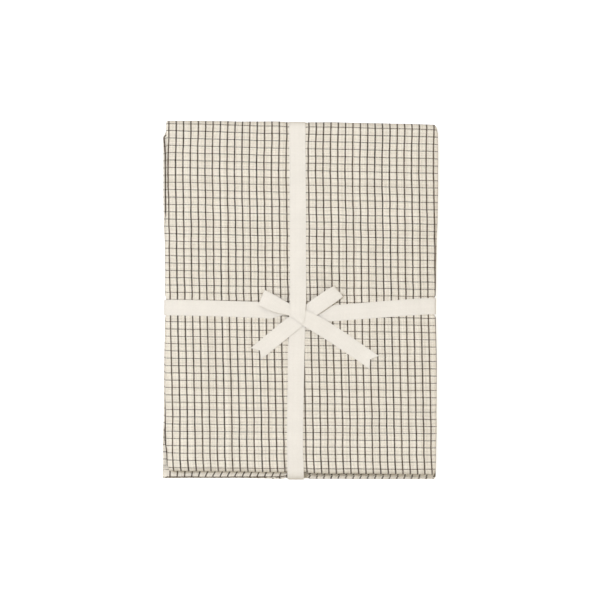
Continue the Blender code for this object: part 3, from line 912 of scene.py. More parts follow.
@dataclass
class Strip:
    """A length of tape along a smooth route through stations of position, across-way and width."""

    name: str
    middle: np.ndarray
    across: np.ndarray
    width: np.ndarray
    thickness: float = 0.34
    cup: float = 0.12
    notch: float = 0.0
    thinning: float = 0.35
    columns: int = 13

    @classmethod
    def through(cls, name: str, rows: Sequence[TapeRow], towel: Towel, **sizes: float) -> Strip:
        """Run a strip smoothly through rows whose heights are told from the towel's face.

        Args:
            name: The piece's name.
            rows: The stations.
            towel: The towel it lies on.
            sizes: Any of the strip's other sizes.

        Returns:
            The strip.
        """
        table = np.array(rows, dtype=float)
        table[:, 2] += towel.face_height(table[:, 0], table[:, 1])
        fine = cls.spline(table)
        heading, bank = np.radians(fine[:, 3]), np.radians(fine[:, 5])
        level = np.stack([-np.sin(heading), np.cos(heading), 0 * heading], axis=-1)
        across = level * np.cos(bank)[:, None] + np.array([0, 0, 1.0]) * np.sin(bank)[:, None]
        return cls(name, fine[:, :3], across, fine[:, 4], **sizes)

    @staticmethod
    def spline(table: np.ndarray, spacing: float = 0.6) -> np.ndarray:
        """Join rows by a cubic through each, whose slope there is that of its two neighbours.

        Args:
            table: The rows, whose first three columns are the position.
            spacing: How far apart the new rows are to be, at most.

        Returns:
            The denser table.
        """
        chord = np.linalg.norm(np.diff(table[:, :3], axis=0), axis=1)
        at = np.concatenate([[0], np.cumsum(chord)])
        slope = np.gradient(table, at, axis=0)
        new = np.linspace(0, at[-1], max(8, math.ceil(at[-1] / spacing)))
        left = np.clip(np.searchsorted(at, new, side="right") - 1, 0, len(at) - 2)
        span = (at[left + 1] - at[left])[:, None]
        t = (new[:, None] - at[left][:, None]) / span
        low, high = table[left], table[left + 1]
        ease_in, ease_out = slope[left] * span, slope[left + 1] * span
        return (
            (2 * t**3 - 3 * t**2 + 1) * low
            + (t**3 - 2 * t**2 + t) * ease_in
            + (3 * t**2 - 2 * t**3) * high
            + (t**3 - t**2) * ease_out
        )

    @property
    def distance(self) -> np.ndarray:
        """How far along the strip each of its stations is."""
        return np.concatenate([[0], np.cumsum(np.linalg.norm(np.diff(self.middle, axis=0), axis=1))])

    def build(self) -> bpy.types.Object:
        """Make the strip: its middle line carried across its width, slightly cupped, then thickened."""
        reach = self.distance
        across_share = np.linspace(-1, 1, self.columns)
        ends = reach[-1] - self.notch * (1 - np.abs(across_share))
        share = reach / reach[-1]
        at = share[:, None] * ends[None, :]

        def read(values: np.ndarray) -> np.ndarray:
            """A station's values at each point's own distance along the strip."""
            return np.stack([np.interp(at, reach, values[:, k]) for k in range(values.shape[1])], -1)

        ahead = np.gradient(self.middle, axis=0)
        ahead /= np.linalg.norm(ahead, axis=1)[:, None]
        normal = np.cross(ahead, self.across)
        normal /= np.linalg.norm(normal, axis=1)[:, None]
        side = across_share[None, :, None] * read(self.width[:, None]) / 2
        up = read(normal)
        middle = read(self.middle) + side * read(self.across)
        middle = middle - self.cup * (across_share**2)[None, :, None] * up * up[..., 2:]
        edge = 1 - self.thinning * np.abs(across_share[None, :, None]) ** 8
        half = self.thickness / 2 * edge
        weave = np.stack([side[..., 0] + 0 * at, at], axis=-1)
        maps = {ClothMesh.UV_NAME: (weave, weave)}
        return ClothMesh.closed_sheet(self.name, middle + up * half, middle - up * half, maps)


@dataclass
class Ribbon:
    """One length of ribbon round the towel both ways, with the bow that ties it on the face."""

    towel: Towel
    width: float = 10.7
    thickness: float = 0.34
    fishtail: float = 3.4
    route_steps: int = 260
    band_cup: float = 0.05
    left_loop_and_right_tail: tuple[TapeRow, ...] = table(
        TapeRow,
        (-4.0, -8.0, 1.2, 156.0, 6.0), (-10.0, -5.2, 1.12, 156.0, 8.0),
        (-17.0, -2.0, 1.08, 155.0, 9.8), (-22.6, 0.6, 1.05, 156.0, 10.3),
        (-24.6, 1.5, 1.3, 156.0, 10.6), (-25.2, 1.8, 1.9, 156.0, 10.7),
        (-24.6, 1.4, 2.6, 156.0, 10.7, 2.0), (-22.4, 0.4, 2.95, 156.0, 10.6, 4.0),
        (-16.4, -2.75, 3.0, 155.0, 10.1, 5.0), (-11.0, -5.0, 2.9, 156.0, 8.6, 4.0),
        (-6.8, -6.5, 2.75, 156.0, 7.3, 2.0), (-2.0, -8.8, 2.7, 152.0, 8.0),
        (2.9, -11.5, 3.0, 150.0, 9.6, -3.0), (10.4, -15.7, 2.35, 150.6, 10.6, -1.0),
        (18.0, -20.2, 1.0, 148.4, 10.7, 2.5), (26.0, -25.4, 0.48, 146.8, 10.7, 1.0),
        (35.0, -31.5, 0.42, 146.0, 10.6), (43.0, -37.0, 0.62, 145.6, 10.5, -1.0),
        (48.6, -40.9, 1.0, 145.4, 10.5, -2.0),
    )
    right_loop_and_left_tail: tuple[TapeRow, ...] = table(
        TapeRow,
        (2.6, -10.4, 2.1, 35.0, 9.0), (8.2, -5.9, 2.15, 35.0, 9.9, -2.0),
        (14.6, -1.4, 2.9, 35.0, 10.1, 4.0), (19.0, 1.6, 3.25, 35.0, 10.1, 8.0),
        (22.4, 3.9, 2.75, 36.0, 9.8, 8.0), (24.7, 5.3, 2.1, 38.0, 9.0, 4.0),
        (25.4, 5.75, 1.6, 40.0, 8.5), (24.4, 5.1, 1.15, 38.0, 8.8), (21.0, 2.9, 1.0, 36.0, 9.8),
        (14.0, -2.2, 1.05, 35.0, 10.2), (6.0, -7.8, 1.2, 36.0, 10.2),
        (-0.5, -12.2, 1.5, 39.0, 10.2), (-5.0, -15.7, 1.45, 39.5, 10.4),
        (-9.5, -19.3, 1.0, 39.6, 10.5, -2.0), (-14.5, -23.4, 0.6, 39.7, 10.4, -2.0),
        (-20.0, -27.9, 0.42, 39.8, 10.4, -1.0), (-25.0, -32.0, 0.55, 40.6, 10.3),
        (-28.9, -35.3, 0.75, 41.0, 10.2, -1.0),
    )
    long_from_head: tuple[TapeRow, ...] = band_rows(
        270.0,
        (-1.75, 107.0, 0.32, 10.7), (-1.7, 100.0, 0.32, 10.7), (-1.6, 88.0, 0.32, 10.7),
        (-1.4, 60.0, 0.32, 10.7), (-1.4, 30.0, 0.30, 10.7), (-1.35, 14.0, 0.45, 10.7),
        (-1.3, 6.0, 1.0, 10.7), (-1.3, 1.0, 2.2, 10.6), (-1.35, -2.5, 3.1, 10.4),
        (-1.45, -6.0, 3.5, 10.3), (-1.6, -8.8, 3.5, 10.2), (-1.0, -10.6, 3.55, 8.6),
        (0.1, -12.6, 3.5, 6.0), (1.2, -14.8, 3.1, 3.2), (2.1, -16.6, 2.0, 1.0),
    )
    long_from_knot: tuple[TapeRow, ...] = band_rows(
        270.0,
        (-1.2, -12.0, 0.85, 8.0), (-1.5, -16.0, 0.75, 9.6), (-1.9, -20.0, 0.55, 10.4),
        (-2.3, -28.0, 0.34, 10.7), (-2.6, -47.0, 0.32, 10.7), (-3.0, -66.0, 0.32, 10.6),
        (-3.25, -88.0, 0.32, 10.5), (-3.2, -100.0, 0.32, 10.4), (-2.9, -107.0, 0.32, 10.7),
    )
    cross_to_left: tuple[TapeRow, ...] = band_rows(
        180.0,
        (0.0, -8.6, 0.45, 5.0), (-8.0, -7.7, 0.38, 4.6), (-11.3, -7.3, 0.36, 5.6),
        (-14.0, -7.0, 0.35, 7.5), (-19.0, -7.2, 0.34, 9.7), (-26.0, -6.6, 0.33, 10.3),
        (-40.0, -6.0, 0.32, 10.4), (-60.0, -5.4, 0.32, 10.4), (-70.0, -5.15, 0.32, 10.3),
        (-76.0, -5.05, 0.32, 10.3), (-80.0, -5.0, 0.32, 10.3), (-84.0, -4.95, 0.32, 10.3),
    )
    cross_to_right: tuple[TapeRow, ...] = band_rows(
        0.0,
        (0.0, -9.6, 0.45, 6.0), (9.0, -9.4, 0.36, 9.6), (20.0, -8.8, 0.34, 10.4),
        (38.0, -7.4, 0.32, 10.6), (60.0, -5.7, 0.32, 10.7), (70.0, -4.95, 0.32, 10.7),
        (76.0, -4.55, 0.32, 10.7), (80.0, -4.3, 0.32, 10.7), (84.0, -4.1, 0.32, 10.7),
    )
    head_corners: tuple[Corner, ...] = (Corner(116.95, 12.1, 5.4), Corner(116.95, 0.18, 5.4))
    foot_corners: tuple[Corner, ...] = (Corner(-117.85, 0.18, 0.6), Corner(-117.85, 12.1, 7.2))
    left_corners: tuple[Corner, ...] = (Corner(-89.0, 10.4, 1.8), Corner(-89.0, 0.52, 1.3))
    right_corners: tuple[Corner, ...] = (Corner(88.95, 9.75, 1.6), Corner(88.95, 0.52, 1.3))

    @staticmethod
    def rounded(corners: Sequence[Corner], arc_step: float = 8.0) -> np.ndarray:
        """Round off the corners of a route.

        Args:
            corners: The route's corners. Its first and last are its ends.
            arc_step: Degrees of an arc to a step.

        Returns:
            Points (along, height) of the route: straight stretches and arcs that touch them.
        """
        spots = np.array([corner[:2] for corner in corners], dtype=float)
        route = [spots[:1]]
        for k in range(1, len(spots) - 1):
            back = (spots[k - 1] - spots[k]) / np.linalg.norm(spots[k - 1] - spots[k])
            onward = (spots[k + 1] - spots[k]) / np.linalg.norm(spots[k + 1] - spots[k])
            half = math.acos(float(np.clip(back @ onward, -1, 1))) / 2
            radius = corners[k].radius
            if radius == 0 or math.pi / 2 - half < 0.002:
                route.append(spots[k : k + 1])
                continue
            centre = spots[k] + (back + onward) / np.linalg.norm(back + onward) * radius / math.sin(half)
            first, last = (spots[k] + way * radius / math.tan(half) - centre for way in (back, onward))
            turn = math.pi - 2 * half
            part = np.linspace(0, 1, max(3, math.ceil(math.degrees(turn) / arc_step)))[:, None]
            arc = first * np.sin((1 - part) * turn) + last * np.sin(part * turn)
            route.append(centre + arc / math.sin(turn))
        route.append(spots[-1:])
        return np.concatenate(route)

    def band(
        self,
        name: str,
        start: Sequence[TapeRow],
        corners: Sequence[Corner],
        stop: Sequence[TapeRow],
        lengthwise: bool,
    ) -> Strip:
        """Run one band from the knot over the face, round the towel and back to the knot.

        Args:
            name: The piece's name.
            start: Stations from the knot outwards.
            corners: The route round the towel, seen from the side.
            stop: Stations from the face back to the knot.
            lengthwise: Whether the band runs along the towel, so that "along" is y and not x.

        Returns:
            The strip.
        """
        one = Strip.through("out", start, self.towel)
        two = Strip.through("back", stop, self.towel)
        axis = 1 if lengthwise else 0
        first, last = (Corner(spot[axis], spot[2], 0) for spot in (one.middle[-1], two.middle[0]))
        route = self.rounded([first, *corners, last])[1:-1]
        gone = np.concatenate([[0], np.cumsum(np.linalg.norm(np.diff(route, axis=0), axis=1))])
        dense = np.unique(np.concatenate([np.linspace(0, gone[-1], self.route_steps), gone]))
        route = np.stack([np.interp(dense, gone, route[:, k]) for k in (0, 1)], axis=-1)
        share = ease(dense / gone[-1])[:, None]
        sideways = one.middle[-1, 1 - axis] * (1 - share) + two.middle[0, 1 - axis] * share
        middle = np.empty((len(route), 3))
        middle[:, axis], middle[:, 1 - axis], middle[:, 2] = route[:, 0], sideways[:, 0], route[:, 1]
        across = np.broadcast_to(one.across[-1], middle.shape)
        width = (one.width[-1] * (1 - share) + two.width[0] * share)[:, 0]
        return Strip(
            name,
            np.concatenate([one.middle, middle, two.middle]),
            np.concatenate([one.across, across, np.broadcast_to(one.across[-1], two.middle.shape)]),
            np.concatenate([one.width, width, two.width]),
            thickness=self.thickness,
            cup=self.band_cup,
        )

    def strips(self) -> list[Strip]:
        """Every strip of the ribbon, the lowest first."""
        cross = [*self.left_corners, *self.right_corners[::-1]]
        long = [*self.foot_corners[::-1], *self.head_corners[::-1]]
        bow = {"towel": self.towel, "thickness": self.thickness, "notch": self.fishtail}
        return [
            self.band("ribbon_across", self.cross_to_left, cross, self.cross_to_right[::-1], False),
            Strip.through("bow_right_loop", self.right_loop_and_left_tail, **bow),
            Strip.through("bow_left_loop", self.left_loop_and_right_tail, **bow),
            self.band("ribbon_along", self.long_from_knot, long, self.long_from_head, True),
        ]


# ------------------------------------------------------------------ finishes


class Graph:
    """Adds nodes to one tree and wires them, so that a finish reads as a list of steps."""

    def __init__(self, tree: bpy.types.NodeTree) -> None:
        """Keep the tree that the nodes go into."""
        self.tree = tree

    def add(self, kind: str, feeds: dict | None = None, **settings: object) -> bpy.types.Node:
        """Add a node.

        Args:
            kind: Its type's name.
            feeds: Values or sockets for its inputs, by name or number.
            settings: Its own settings.

        Returns:
            The node.
        """
        node = self.tree.nodes.new(kind)
        for name, value in settings.items():
            setattr(node, name, value)
        for key, value in (feeds or {}).items():
            self.feed(node.inputs[key], value)
        return node

    def feed(self, socket: bpy.types.NodeSocket, value: object) -> None:
        """Wire a socket to another, or set its own value."""
        if isinstance(value, bpy.types.NodeSocket):
            self.tree.links.new(value, socket)
        else:
            socket.default_value = value

    def maths(self, operation: str, *values: object, clamp: bool = False) -> bpy.types.NodeSocket:
        """The result of a Math node."""
        feeds = dict(enumerate(values))
        return self.add("ShaderNodeMath", feeds, operation=operation, use_clamp=clamp).outputs[0]

    def times(self, one: object, other: object) -> bpy.types.NodeSocket:
        """The product of two values."""
        return self.maths("MULTIPLY", one, other)

    def slope(self, value: object, line: Sequence[float], clamp: bool = False) -> bpy.types.NodeSocket:
        """A value read off a straight line, kept between 0 and 1 if asked."""
        return self.maths("MULTIPLY_ADD", value, *line, clamp=clamp)

    def mix(self, share: object, one: object, other: object) -> bpy.types.NodeSocket:
        """Two colours mixed: all of the first at 0, all of the other at 1."""
        node = self.add("ShaderNodeMix", {0: share, 6: one, 7: other}, data_type="RGBA")
        return node.outputs[2]

    def noise(self, vector: object, scale: float, detail: float = 2.0) -> bpy.types.NodeSocket:
        """A noise's value, about 0.5 on average."""
        feeds = {"Vector": vector, "Scale": scale, "Detail": detail}
        return self.add("ShaderNodeTexNoise", feeds).outputs[0]

    def vector(self, x: object, y: object, z: object = 0.0) -> bpy.types.NodeSocket:
        """A vector from its parts."""
        return self.add("ShaderNodeCombineXYZ", {0: x, 1: y, 2: z}).outputs[0]

    def parts(self, vector: object) -> tuple[bpy.types.NodeSocket, ...]:
        """A vector's parts."""
        return tuple(self.add("ShaderNodeSeparateXYZ", {0: vector}).outputs)


class WeaveGroup:
    """The node group that both cloths share: threads crossing over and under each other."""

    NAME = "plain_weave"
    EDGE = (5.0, 0.5)
    ARCH = (0.45, 0.55)
    THREAD_OFFSET = 0.37
    WEFT_OFFSET = 500.0
    SLUB_SCALE = 0.045
    OWN_SHARE = 0.4
    SLUB_SHARE = 0.6

    @classmethod
    def get(cls) -> bpy.types.NodeTree:
        """The group, made the first time that it is asked for."""
        return bpy.data.node_groups.get(cls.NAME) or cls.make()

    @classmethod
    def make(cls) -> bpy.types.NodeTree:
        """Make the group.

        Its input is a place on the cloth counted in threads, X across the warp and Y across the
        weft. The warp lies on top where sin(pi X) sin(pi Y) is above minus its reach. Each thread
        is round, so its height is |sin| across it, and higher where it crosses over another. The
        fleck is a chance value for each crossing, and a tone is one for each stretch of a thread.

        Returns:
            The group.
        """
        tree = bpy.data.node_groups.new(cls.NAME, "ShaderNodeTree")
        face = tree.interface
        face.new_socket(name="Threads", in_out="INPUT", socket_type="NodeSocketVector")
        face.new_socket(name="Warp Reach", in_out="INPUT", socket_type="NodeSocketFloat")
        for name in ("Warp Over", "Height", "Fleck", "Warp Tone", "Weft Tone"):
            face.new_socket(name=name, in_out="OUTPUT", socket_type="NodeSocketFloat")
        graph = Graph(tree)
        given = graph.add("NodeGroupInput")
        x, y, _ = graph.parts(given.outputs["Threads"])
        cell = graph.add("ShaderNodeVectorMath", {0: given.outputs["Threads"]}, operation="FLOOR")
        fleck = graph.add("ShaderNodeTexWhiteNoise", {"Vector": cell.outputs[0]}).outputs[0]
        wave_x = graph.maths("SINE", graph.times(x, math.pi))
        wave_y = graph.maths("SINE", graph.times(y, math.pi))
        crossing = graph.times(wave_x, wave_y)
        lifted = graph.maths("ADD", crossing, given.outputs["Warp Reach"])
        over = graph.slope(lifted, cls.EDGE, clamp=True)
        round_x, round_y = graph.maths("ABSOLUTE", wave_x), graph.maths("ABSOLUTE", wave_y)
        arch_x = graph.times(round_x, graph.slope(round_y, cls.ARCH))
        arch_y = graph.times(round_y, graph.slope(round_x, cls.ARCH))
        height = graph.add("ShaderNodeMix", {0: over, 2: arch_y, 3: arch_x}).outputs[0]
        tones = []
        for number, (along, beside) in enumerate(((x, y), (y, x))):
            offset = cls.THREAD_OFFSET + cls.WEFT_OFFSET * number
            count = graph.maths("ADD", graph.maths("FLOOR", along), offset)
            own = graph.add("ShaderNodeTexWhiteNoise", {"W": count}, noise_dimensions="1D").outputs[0]
            run = graph.vector(count, graph.times(beside, cls.SLUB_SCALE), 3.0 * number)
            slub = graph.noise(run, 1.0, 3.0)
            tones.append(graph.slope(own, (cls.OWN_SHARE, graph.times(slub, cls.SLUB_SHARE))))
        feeds = {"Warp Over": over, "Height": height, "Fleck": fleck}
        graph.add("NodeGroupOutput", feeds | {"Warp Tone": tones[0], "Weft Tone": tones[1]})
        return tree


class Slope(NamedTuple):
    """A straight line: how much it rises over one of its value, and what it is at 0."""

    rise: float
    start: float


@dataclass(frozen=True)
class Finish:
    """What every finish has: how rough and velvety its surface is, and how its weave shades it.

    shade turns the threads' height into painted shade, darker in the dips between the threads;
    mottle and fleck turn a slow noise and each crossing's chance value into the yarn's own uneven
    tone. Together they say how bright the cloth is. relief is how high a thread stands, in metres.
    """

    name: str
    roughness: float
    sheen: float
    relief: float
    shade: Slope
    mottle: Slope
    mottle_scale: float
    fleck: Slope

    def start(self) -> tuple[bpy.types.Material, Graph, bpy.types.Node]:
        """A new material, its graph and its shader."""
        material = bpy.data.materials.new(self.name)
        material.use_nodes = True
        graph = Graph(material.node_tree)
        shader = material.node_tree.nodes["Principled BSDF"]
        shader.inputs["Roughness"].default_value = self.roughness
        shader.inputs["Sheen Weight"].default_value = self.sheen
        shader.inputs["Sheen Roughness"].default_value = 0.6
        shader.inputs["Specular IOR Level"].default_value = 0.25
        return material, graph, shader

    def weave(self, graph: Graph, threads: object, reach: object) -> bpy.types.Node:
        """The shared weave over places counted in threads."""
        node = graph.add("ShaderNodeGroup", {}, node_tree=WeaveGroup.get())
        graph.feed(node.inputs["Threads"], threads)
        graph.feed(node.inputs["Warp Reach"], reach)
        return node

    def dress(
        self,
        graph: Graph,
        shader: bpy.types.Node,
        weave: bpy.types.Node,
        place: object,
        cloth: object,
        height: object,
        seam_shade: object = 1.0,
    ) -> None:
        """Give the surface its shaded colour and its relief.

        Args:
            graph: The material's graph.
            shader: Its shader.
            weave: The weave's node.
            place: Where on the cloth a point is.
            cloth: The colour of the thread on top.
            height: The height of the surface.
            seam_shade: The painted shade in the seams, where the stitches pucker the cloth and where the
                hem's turning ends; 1 where there is none.
        """
        # painted shade: the colour is darkened in the dips between threads and in the seams; mottle and fleck
        # are the yarn's own tone
        shade = graph.times(graph.slope(weave.outputs["Height"], self.shade), seam_shade)
        mottle = graph.slope(graph.noise(place, self.mottle_scale, 3.0), self.mottle)
        fleck = graph.slope(weave.outputs["Fleck"], self.fleck)
        shade = graph.times(shade, graph.times(mottle, fleck))
        colour = graph.add("ShaderNodeVectorMath", {0: cloth, 3: shade}, operation="SCALE").outputs[0]
        graph.feed(shader.inputs["Base Color"], colour)
        bump = graph.add("ShaderNodeBump", {"Distance": self.relief, "Strength": 1.0, "Height": height})
        graph.feed(shader.inputs["Normal"], bump.outputs[0])


@dataclass(frozen=True)
class CheckedCloth(Finish):
    """Off-white slub yarn with a check of dark threads, two in the warp and one in the weft."""

    name: str = "checked_cloth"
    roughness: float = 0.88
    sheen: float = 0.12
    threads: float = 10.0
    pale: tuple[float, ...] = (0.97, 0.905, 0.785, 1.0)
    dull: tuple[float, ...] = (0.74, 0.67, 0.555, 1.0)
    dark: tuple[float, ...] = (0.030, 0.020, 0.014, 1.0)
    faded: tuple[float, ...] = (0.17, 0.120, 0.078, 1.0)
    stitch: tuple[float, ...] = (0.93, 0.88, 0.78, 1.0)
    wander: float = 0.08
    relief: float = 0.00016
    # painted shade in the dips between threads
    shade: Slope = Slope(0.24, 0.83)
    mottle: Slope = Slope(0.10, 0.95)
    mottle_scale: float = 0.22
    fleck: Slope = Slope(0.12, 0.94)
    warp_gaps: Slope = Slope(1.3, 0.80)
    weft_patches: Slope = Slope(2.4, -0.55)
    dark_in_warp: float = 2.0
    dark_in_weft: float = 1.0
    spread: Slope = Slope(2.4, -0.70)
    fading: float = 0.55
    stitch_line: float = 6.4
    stitch_edge: Slope = Slope(-8.0, 2.2)
    stitch_length: float = 2.8
    stitch_share: float = 0.36
    # pucker shapes both the seam's relief and its painted shade; turning and turning_edge lay a line of
    # painted shade where the hem's turning ends, and seam_shade says how dark that painted shade is
    pucker: Slope = Slope(-1.2, 1.0)
    pucker_depth: float = -1.6
    stitch_height: float = 1.8
    turning: float = 8.3
    turning_edge: Slope = Slope(-2.5, 1.0)
    seam_shade: Slope = Slope(-0.14, 1.0)

    def material(self) -> bpy.types.Material:
        """Make the material."""
        material, graph, shader = self.start()
        checks = graph.add("ShaderNodeUVMap", uv_map=ClothMesh.UV_NAME).outputs[0]
        bend = graph.add("ShaderNodeTexNoise", {"Vector": checks, "Scale": 0.55, "Detail": 2.5}).outputs[1]
        bend = graph.add("ShaderNodeVectorMath", {0: bend, 1: (0.5, 0.5, 0.5)}, operation="SUBTRACT")
        bend = graph.add("ShaderNodeVectorMath", {0: bend.outputs[0], 3: self.wander}, operation="SCALE")
        bent = graph.add("ShaderNodeVectorMath", {0: checks, 1: bend.outputs[0]}, operation="ADD")
        across, along, _ = graph.parts(bent.outputs[0])
        x = graph.maths("MULTIPLY_ADD", across, self.threads, 1.0)
        y = graph.maths("MULTIPLY_ADD", along, self.threads, 0.5)
        in_warp = graph.maths("FRACT", graph.maths("DIVIDE", x, self.threads))
        in_weft = graph.maths("FRACT", graph.maths("DIVIDE", y, self.threads))
        dark_warp = graph.maths("LESS_THAN", in_warp, self.dark_in_warp / self.threads)
        dark_weft = graph.maths("LESS_THAN", in_weft, self.dark_in_weft / self.threads)
        patch_run = graph.vector(graph.times(across, 0.9), graph.maths("FLOOR", along))
        patches = graph.maths("SUBTRACT", graph.noise(patch_run, 1.0, 2.0), 0.5)
        warp_run = graph.vector(graph.maths("FLOOR", across), graph.times(along, 0.7), 7.0)
        gaps = graph.maths("SUBTRACT", graph.noise(warp_run, 1.0, 2.0), 0.5)
        reach = graph.times(dark_warp, graph.slope(gaps, self.warp_gaps))
        weft_reach = graph.times(dark_weft, graph.slope(patches, self.weft_patches))
        reach = graph.maths("ADD", reach, weft_reach)
        weave = self.weave(graph, graph.vector(x, y), reach)
        cloth = self.yarn(graph, weave, dark_warp, dark_weft)
        sewn, seam_shade, seam_height = self.hem(graph)
        cloth = graph.mix(sewn, cloth, self.stitch)
        height = graph.maths("ADD", weave.outputs["Height"], seam_height)
        self.dress(graph, shader, weave, checks, cloth, height, seam_shade)
        return material

    def hem(self, graph: Graph) -> tuple[bpy.types.NodeSocket, ...]:
        """Work out the row of stitches along each edge and the step where the hem's turning ends.

        Args:
            graph: The material's graph.

        Returns:
            1 on a stitch, the painted shade in the seam, darker where the stitches pucker the cloth
            and along the step where the turning ends, and its height there.
        """
        place = graph.add("ShaderNodeUVMap", uv_map=ClothMesh.HEM_NAME).outputs[0]
        inward, along, _ = graph.parts(place)
        off_line = graph.maths("ABSOLUTE", graph.maths("SUBTRACT", inward, self.stitch_line))
        on_line = graph.slope(off_line, self.stitch_edge, clamp=True)
        part = graph.maths("FRACT", graph.maths("DIVIDE", along, self.stitch_length))
        off_middle = graph.maths("ABSOLUTE", graph.maths("SUBTRACT", part, 0.5))
        on_stitch = graph.maths("LESS_THAN", off_middle, self.stitch_share)
        sewn = graph.times(on_line, on_stitch)
        puckered = graph.slope(off_line, self.pucker, clamp=True)
        off_edge = graph.maths("ABSOLUTE", graph.maths("SUBTRACT", inward, self.turning))
        step = graph.slope(off_edge, self.turning_edge, clamp=True)
        # painted shade in the puckered seam and along the turning's step
        shade = graph.slope(graph.maths("MAXIMUM", puckered, step), self.seam_shade)
        height = graph.slope(puckered, (self.pucker_depth, graph.times(sewn, self.stitch_height)))
        return sewn, shade, height

    def yarn(
        self, graph: Graph, weave: bpy.types.Node, dark_warp: object, dark_weft: object
    ) -> bpy.types.NodeSocket:
        """Colour each thread and show the one on top.

        Args:
            graph: The material's graph.
            weave: The weave group's node.
            dark_warp: 1 on the dark threads of the warp.
            dark_weft: 1 on those of the weft.

        Returns:
            The colour.
        """
        threads = []
        for tone, is_dark in (("Warp Tone", dark_warp), ("Weft Tone", dark_weft)):
            spread = graph.slope(weave.outputs[tone], self.spread, clamp=True)
            plain = graph.mix(spread, self.dull, self.pale)
            dyed = graph.mix(graph.times(spread, self.fading), self.dark, self.faded)
            threads.append(graph.mix(is_dark, plain, dyed))
        return graph.mix(weave.outputs["Warp Over"], threads[1], threads[0])


@dataclass(frozen=True)
class WovenTape(Finish):
    """Soft off-white tape of fine even threads, with a firm selvedge on each side."""

    name: str = "woven_tape"
    roughness: float = 0.8
    sheen: float = 0.15
    thread: float = 0.30
    pale: tuple[float, ...] = (0.820, 0.773, 0.694, 1.0)
    dull: tuple[float, ...] = (0.740, 0.693, 0.612, 1.0)
    relief: float = 0.00005
    # painted shade in the dips between threads
    shade: Slope = Slope(0.08, 0.95)
    mottle: Slope = Slope(0.14, 0.93)
    mottle_scale: float = 0.06
    fleck: Slope = Slope(0.05, 0.975)
    warp_reach: float = 0.1
    selvedge: float = 4.6
    selvedge_edge: Slope = Slope(4.0, 0.5)
    selvedge_height: float = 1.6

    def material(self) -> bpy.types.Material:
        """Make the material."""
        material, graph, shader = self.start()
        place = graph.add("ShaderNodeUVMap", uv_map=ClothMesh.UV_NAME).outputs[0]
        threads = graph.add("ShaderNodeVectorMath", {0: place, 3: 1.0 / self.thread}, operation="SCALE")
        weave = self.weave(graph, threads.outputs[0], self.warp_reach)
        tone = graph.mix(weave.outputs["Warp Over"], weave.outputs["Weft Tone"], weave.outputs["Warp Tone"])
        cloth = graph.mix(tone, self.dull, self.pale)
        beside = graph.maths("SUBTRACT", graph.maths("ABSOLUTE", graph.parts(place)[0]), self.selvedge)
        ridge = graph.slope(beside, self.selvedge_edge, clamp=True)
        height = graph.slope(ridge, (self.selvedge_height, weave.outputs["Height"]))
        self.dress(graph, shader, weave, place, cloth, height)
        return material


# ------------------------------------------------------------------ the studio


class Lamp(NamedTuple):
    """A square lamp that looks at the towel: its place, its side in metres and its watts."""

    name: str
    x: float
    y: float
    z: float
    side: float
    watts: float


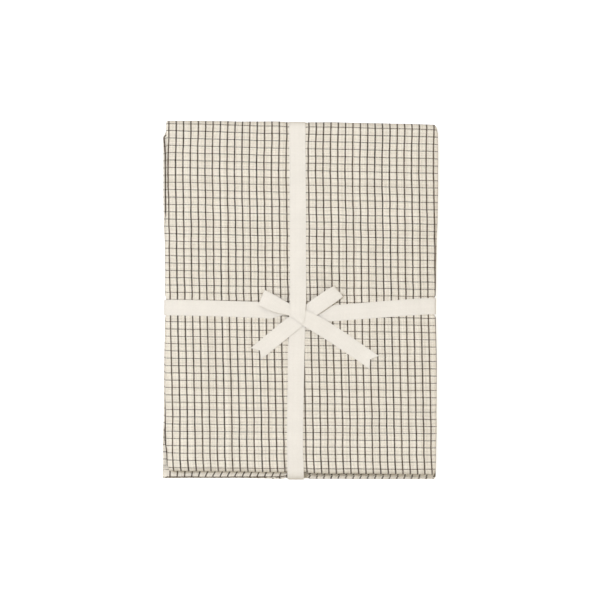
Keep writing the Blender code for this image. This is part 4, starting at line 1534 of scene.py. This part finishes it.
@dataclass
class Studio:
    """A plain white floor, soft light from the upper left, and a camera straight above."""

    frame_width: float = 393.0
    lens: float = 180.0
    sensor: float = 36.0
    face_height: float = 11.5
    floor_size: float = 8.0
    fill: float = 0.69
    fill_colour: tuple[float, ...] = (1.0, 0.945, 0.82, 1.0)
    lamp_colour: tuple[float, ...] = (0.96, 1.035, 1.22)
    floor_glow: float = 0.58
    floor_colour: tuple[float, ...] = (0.9, 0.9, 0.9, 1.0)
    floor_bounce: tuple[float, ...] = (0.36, 0.33, 0.29, 1.0)
    lamps: tuple[Lamp, ...] = (
        Lamp("key", -0.62, 0.36, 2.0, 0.6, 23.0),
        Lamp("low_fill", 0.3, -1.7, 1.2, 1.4, 2.8),
    )

    def floor(self) -> bpy.types.Object:
        """A large white floor. The camera sees it lit a little from within, like a light table."""
        half = self.floor_size / 2
        mesh = bpy.data.meshes.new("floor")
        corners = [(-half, -half, 0), (half, -half, 0), (half, half, 0), (-half, half, 0)]
        mesh.from_pydata(corners, [], [(0, 1, 2, 3)])
        material = bpy.data.materials.new("white_floor")
        material.use_nodes = True
        shader = material.node_tree.nodes["Principled BSDF"]
        graph = Graph(material.node_tree)
        seen = graph.add("ShaderNodeLightPath").outputs["Is Camera Ray"]
        graph.feed(shader.inputs["Base Color"], graph.mix(seen, self.floor_bounce, self.floor_colour))
        shader.inputs["Emission Color"].default_value = (1.0, 1.0, 1.0, 1.0)
        graph.feed(shader.inputs["Emission Strength"], graph.times(seen, self.floor_glow))
        shader.inputs["Roughness"].default_value = 1.0
        shader.inputs["Specular IOR Level"].default_value = 0.0
        mesh.materials.append(material)
        floor = bpy.data.objects.new("floor", mesh)
        bpy.context.scene.collection.objects.link(floor)
        return floor

    def light(self) -> None:
        """An even white sky as fill, a large lamp and a weaker one on the other side."""
        world = bpy.data.worlds.new("studio")
        world.use_nodes = True
        world.node_tree.nodes["Background"].inputs["Strength"].default_value = self.fill
        world.node_tree.nodes["Background"].inputs["Color"].default_value = self.fill_colour
        bpy.context.scene.world = world
        for lamp in self.lamps:
            light = bpy.data.lights.new(lamp.name, "AREA")
            light.energy = lamp.watts
            light.size = lamp.side
            light.color = self.lamp_colour
            piece = bpy.data.objects.new(lamp.name, light)
            piece.location = (lamp.x, lamp.y, lamp.z)
            piece.rotation_euler = (-Vector(piece.location)).to_track_quat("-Z", "Y").to_euler()
            bpy.context.scene.collection.objects.link(piece)

    def camera(self) -> None:
        """A long lens looking straight down, whose frame is as wide as the photo's."""
        data = bpy.data.cameras.new("camera")
        data.lens = self.lens
        data.sensor_width = self.sensor
        camera = bpy.data.objects.new("camera", data)
        away = self.frame_width * self.lens / self.sensor
        camera.location = (0.0, 0.0, (away + self.face_height) * MM)
        bpy.context.scene.collection.objects.link(camera)
        bpy.context.scene.camera = camera

    def set_up(self) -> None:
        """Make all of it, and show colours as they are."""
        self.floor()
        self.light()
        self.camera()
        bpy.context.scene.view_settings.view_transform = "Standard"
        bpy.context.scene.view_settings.look = "None"


# ------------------------------------------------------------------ all of it


def place(piece: bpy.types.Object, node: str, slot: str, material: bpy.types.Material) -> None:
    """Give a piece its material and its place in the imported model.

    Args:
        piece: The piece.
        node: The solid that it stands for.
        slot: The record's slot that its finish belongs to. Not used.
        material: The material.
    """
    piece.data.materials.append(material)
    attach(piece, "root")
    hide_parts(node)


def main() -> None:
    logging.basicConfig(level=logging.INFO, format="%(message)s")
    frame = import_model()
    log.info("frame: solids %s", ", ".join(sorted(frame["nodes"])))
    Studio().set_up()
    towel = Towel()
    cloth = towel.build()
    place(cloth, "towel", "check_cloth", CheckedCloth().material())
    towel.length * MM
    faces = len(cloth.data.polygons)
    log.info("towel: one sheet of %.0f x %.0f mm, %d faces", towel.width, towel.length, faces)
    ribbon = Ribbon(towel)
    tape = WovenTape().material()
    for strip in ribbon.strips():
        piece = strip.build()
        place(piece, "ribbon", "ribbon", tape)


if __name__ == "__main__":
    main()
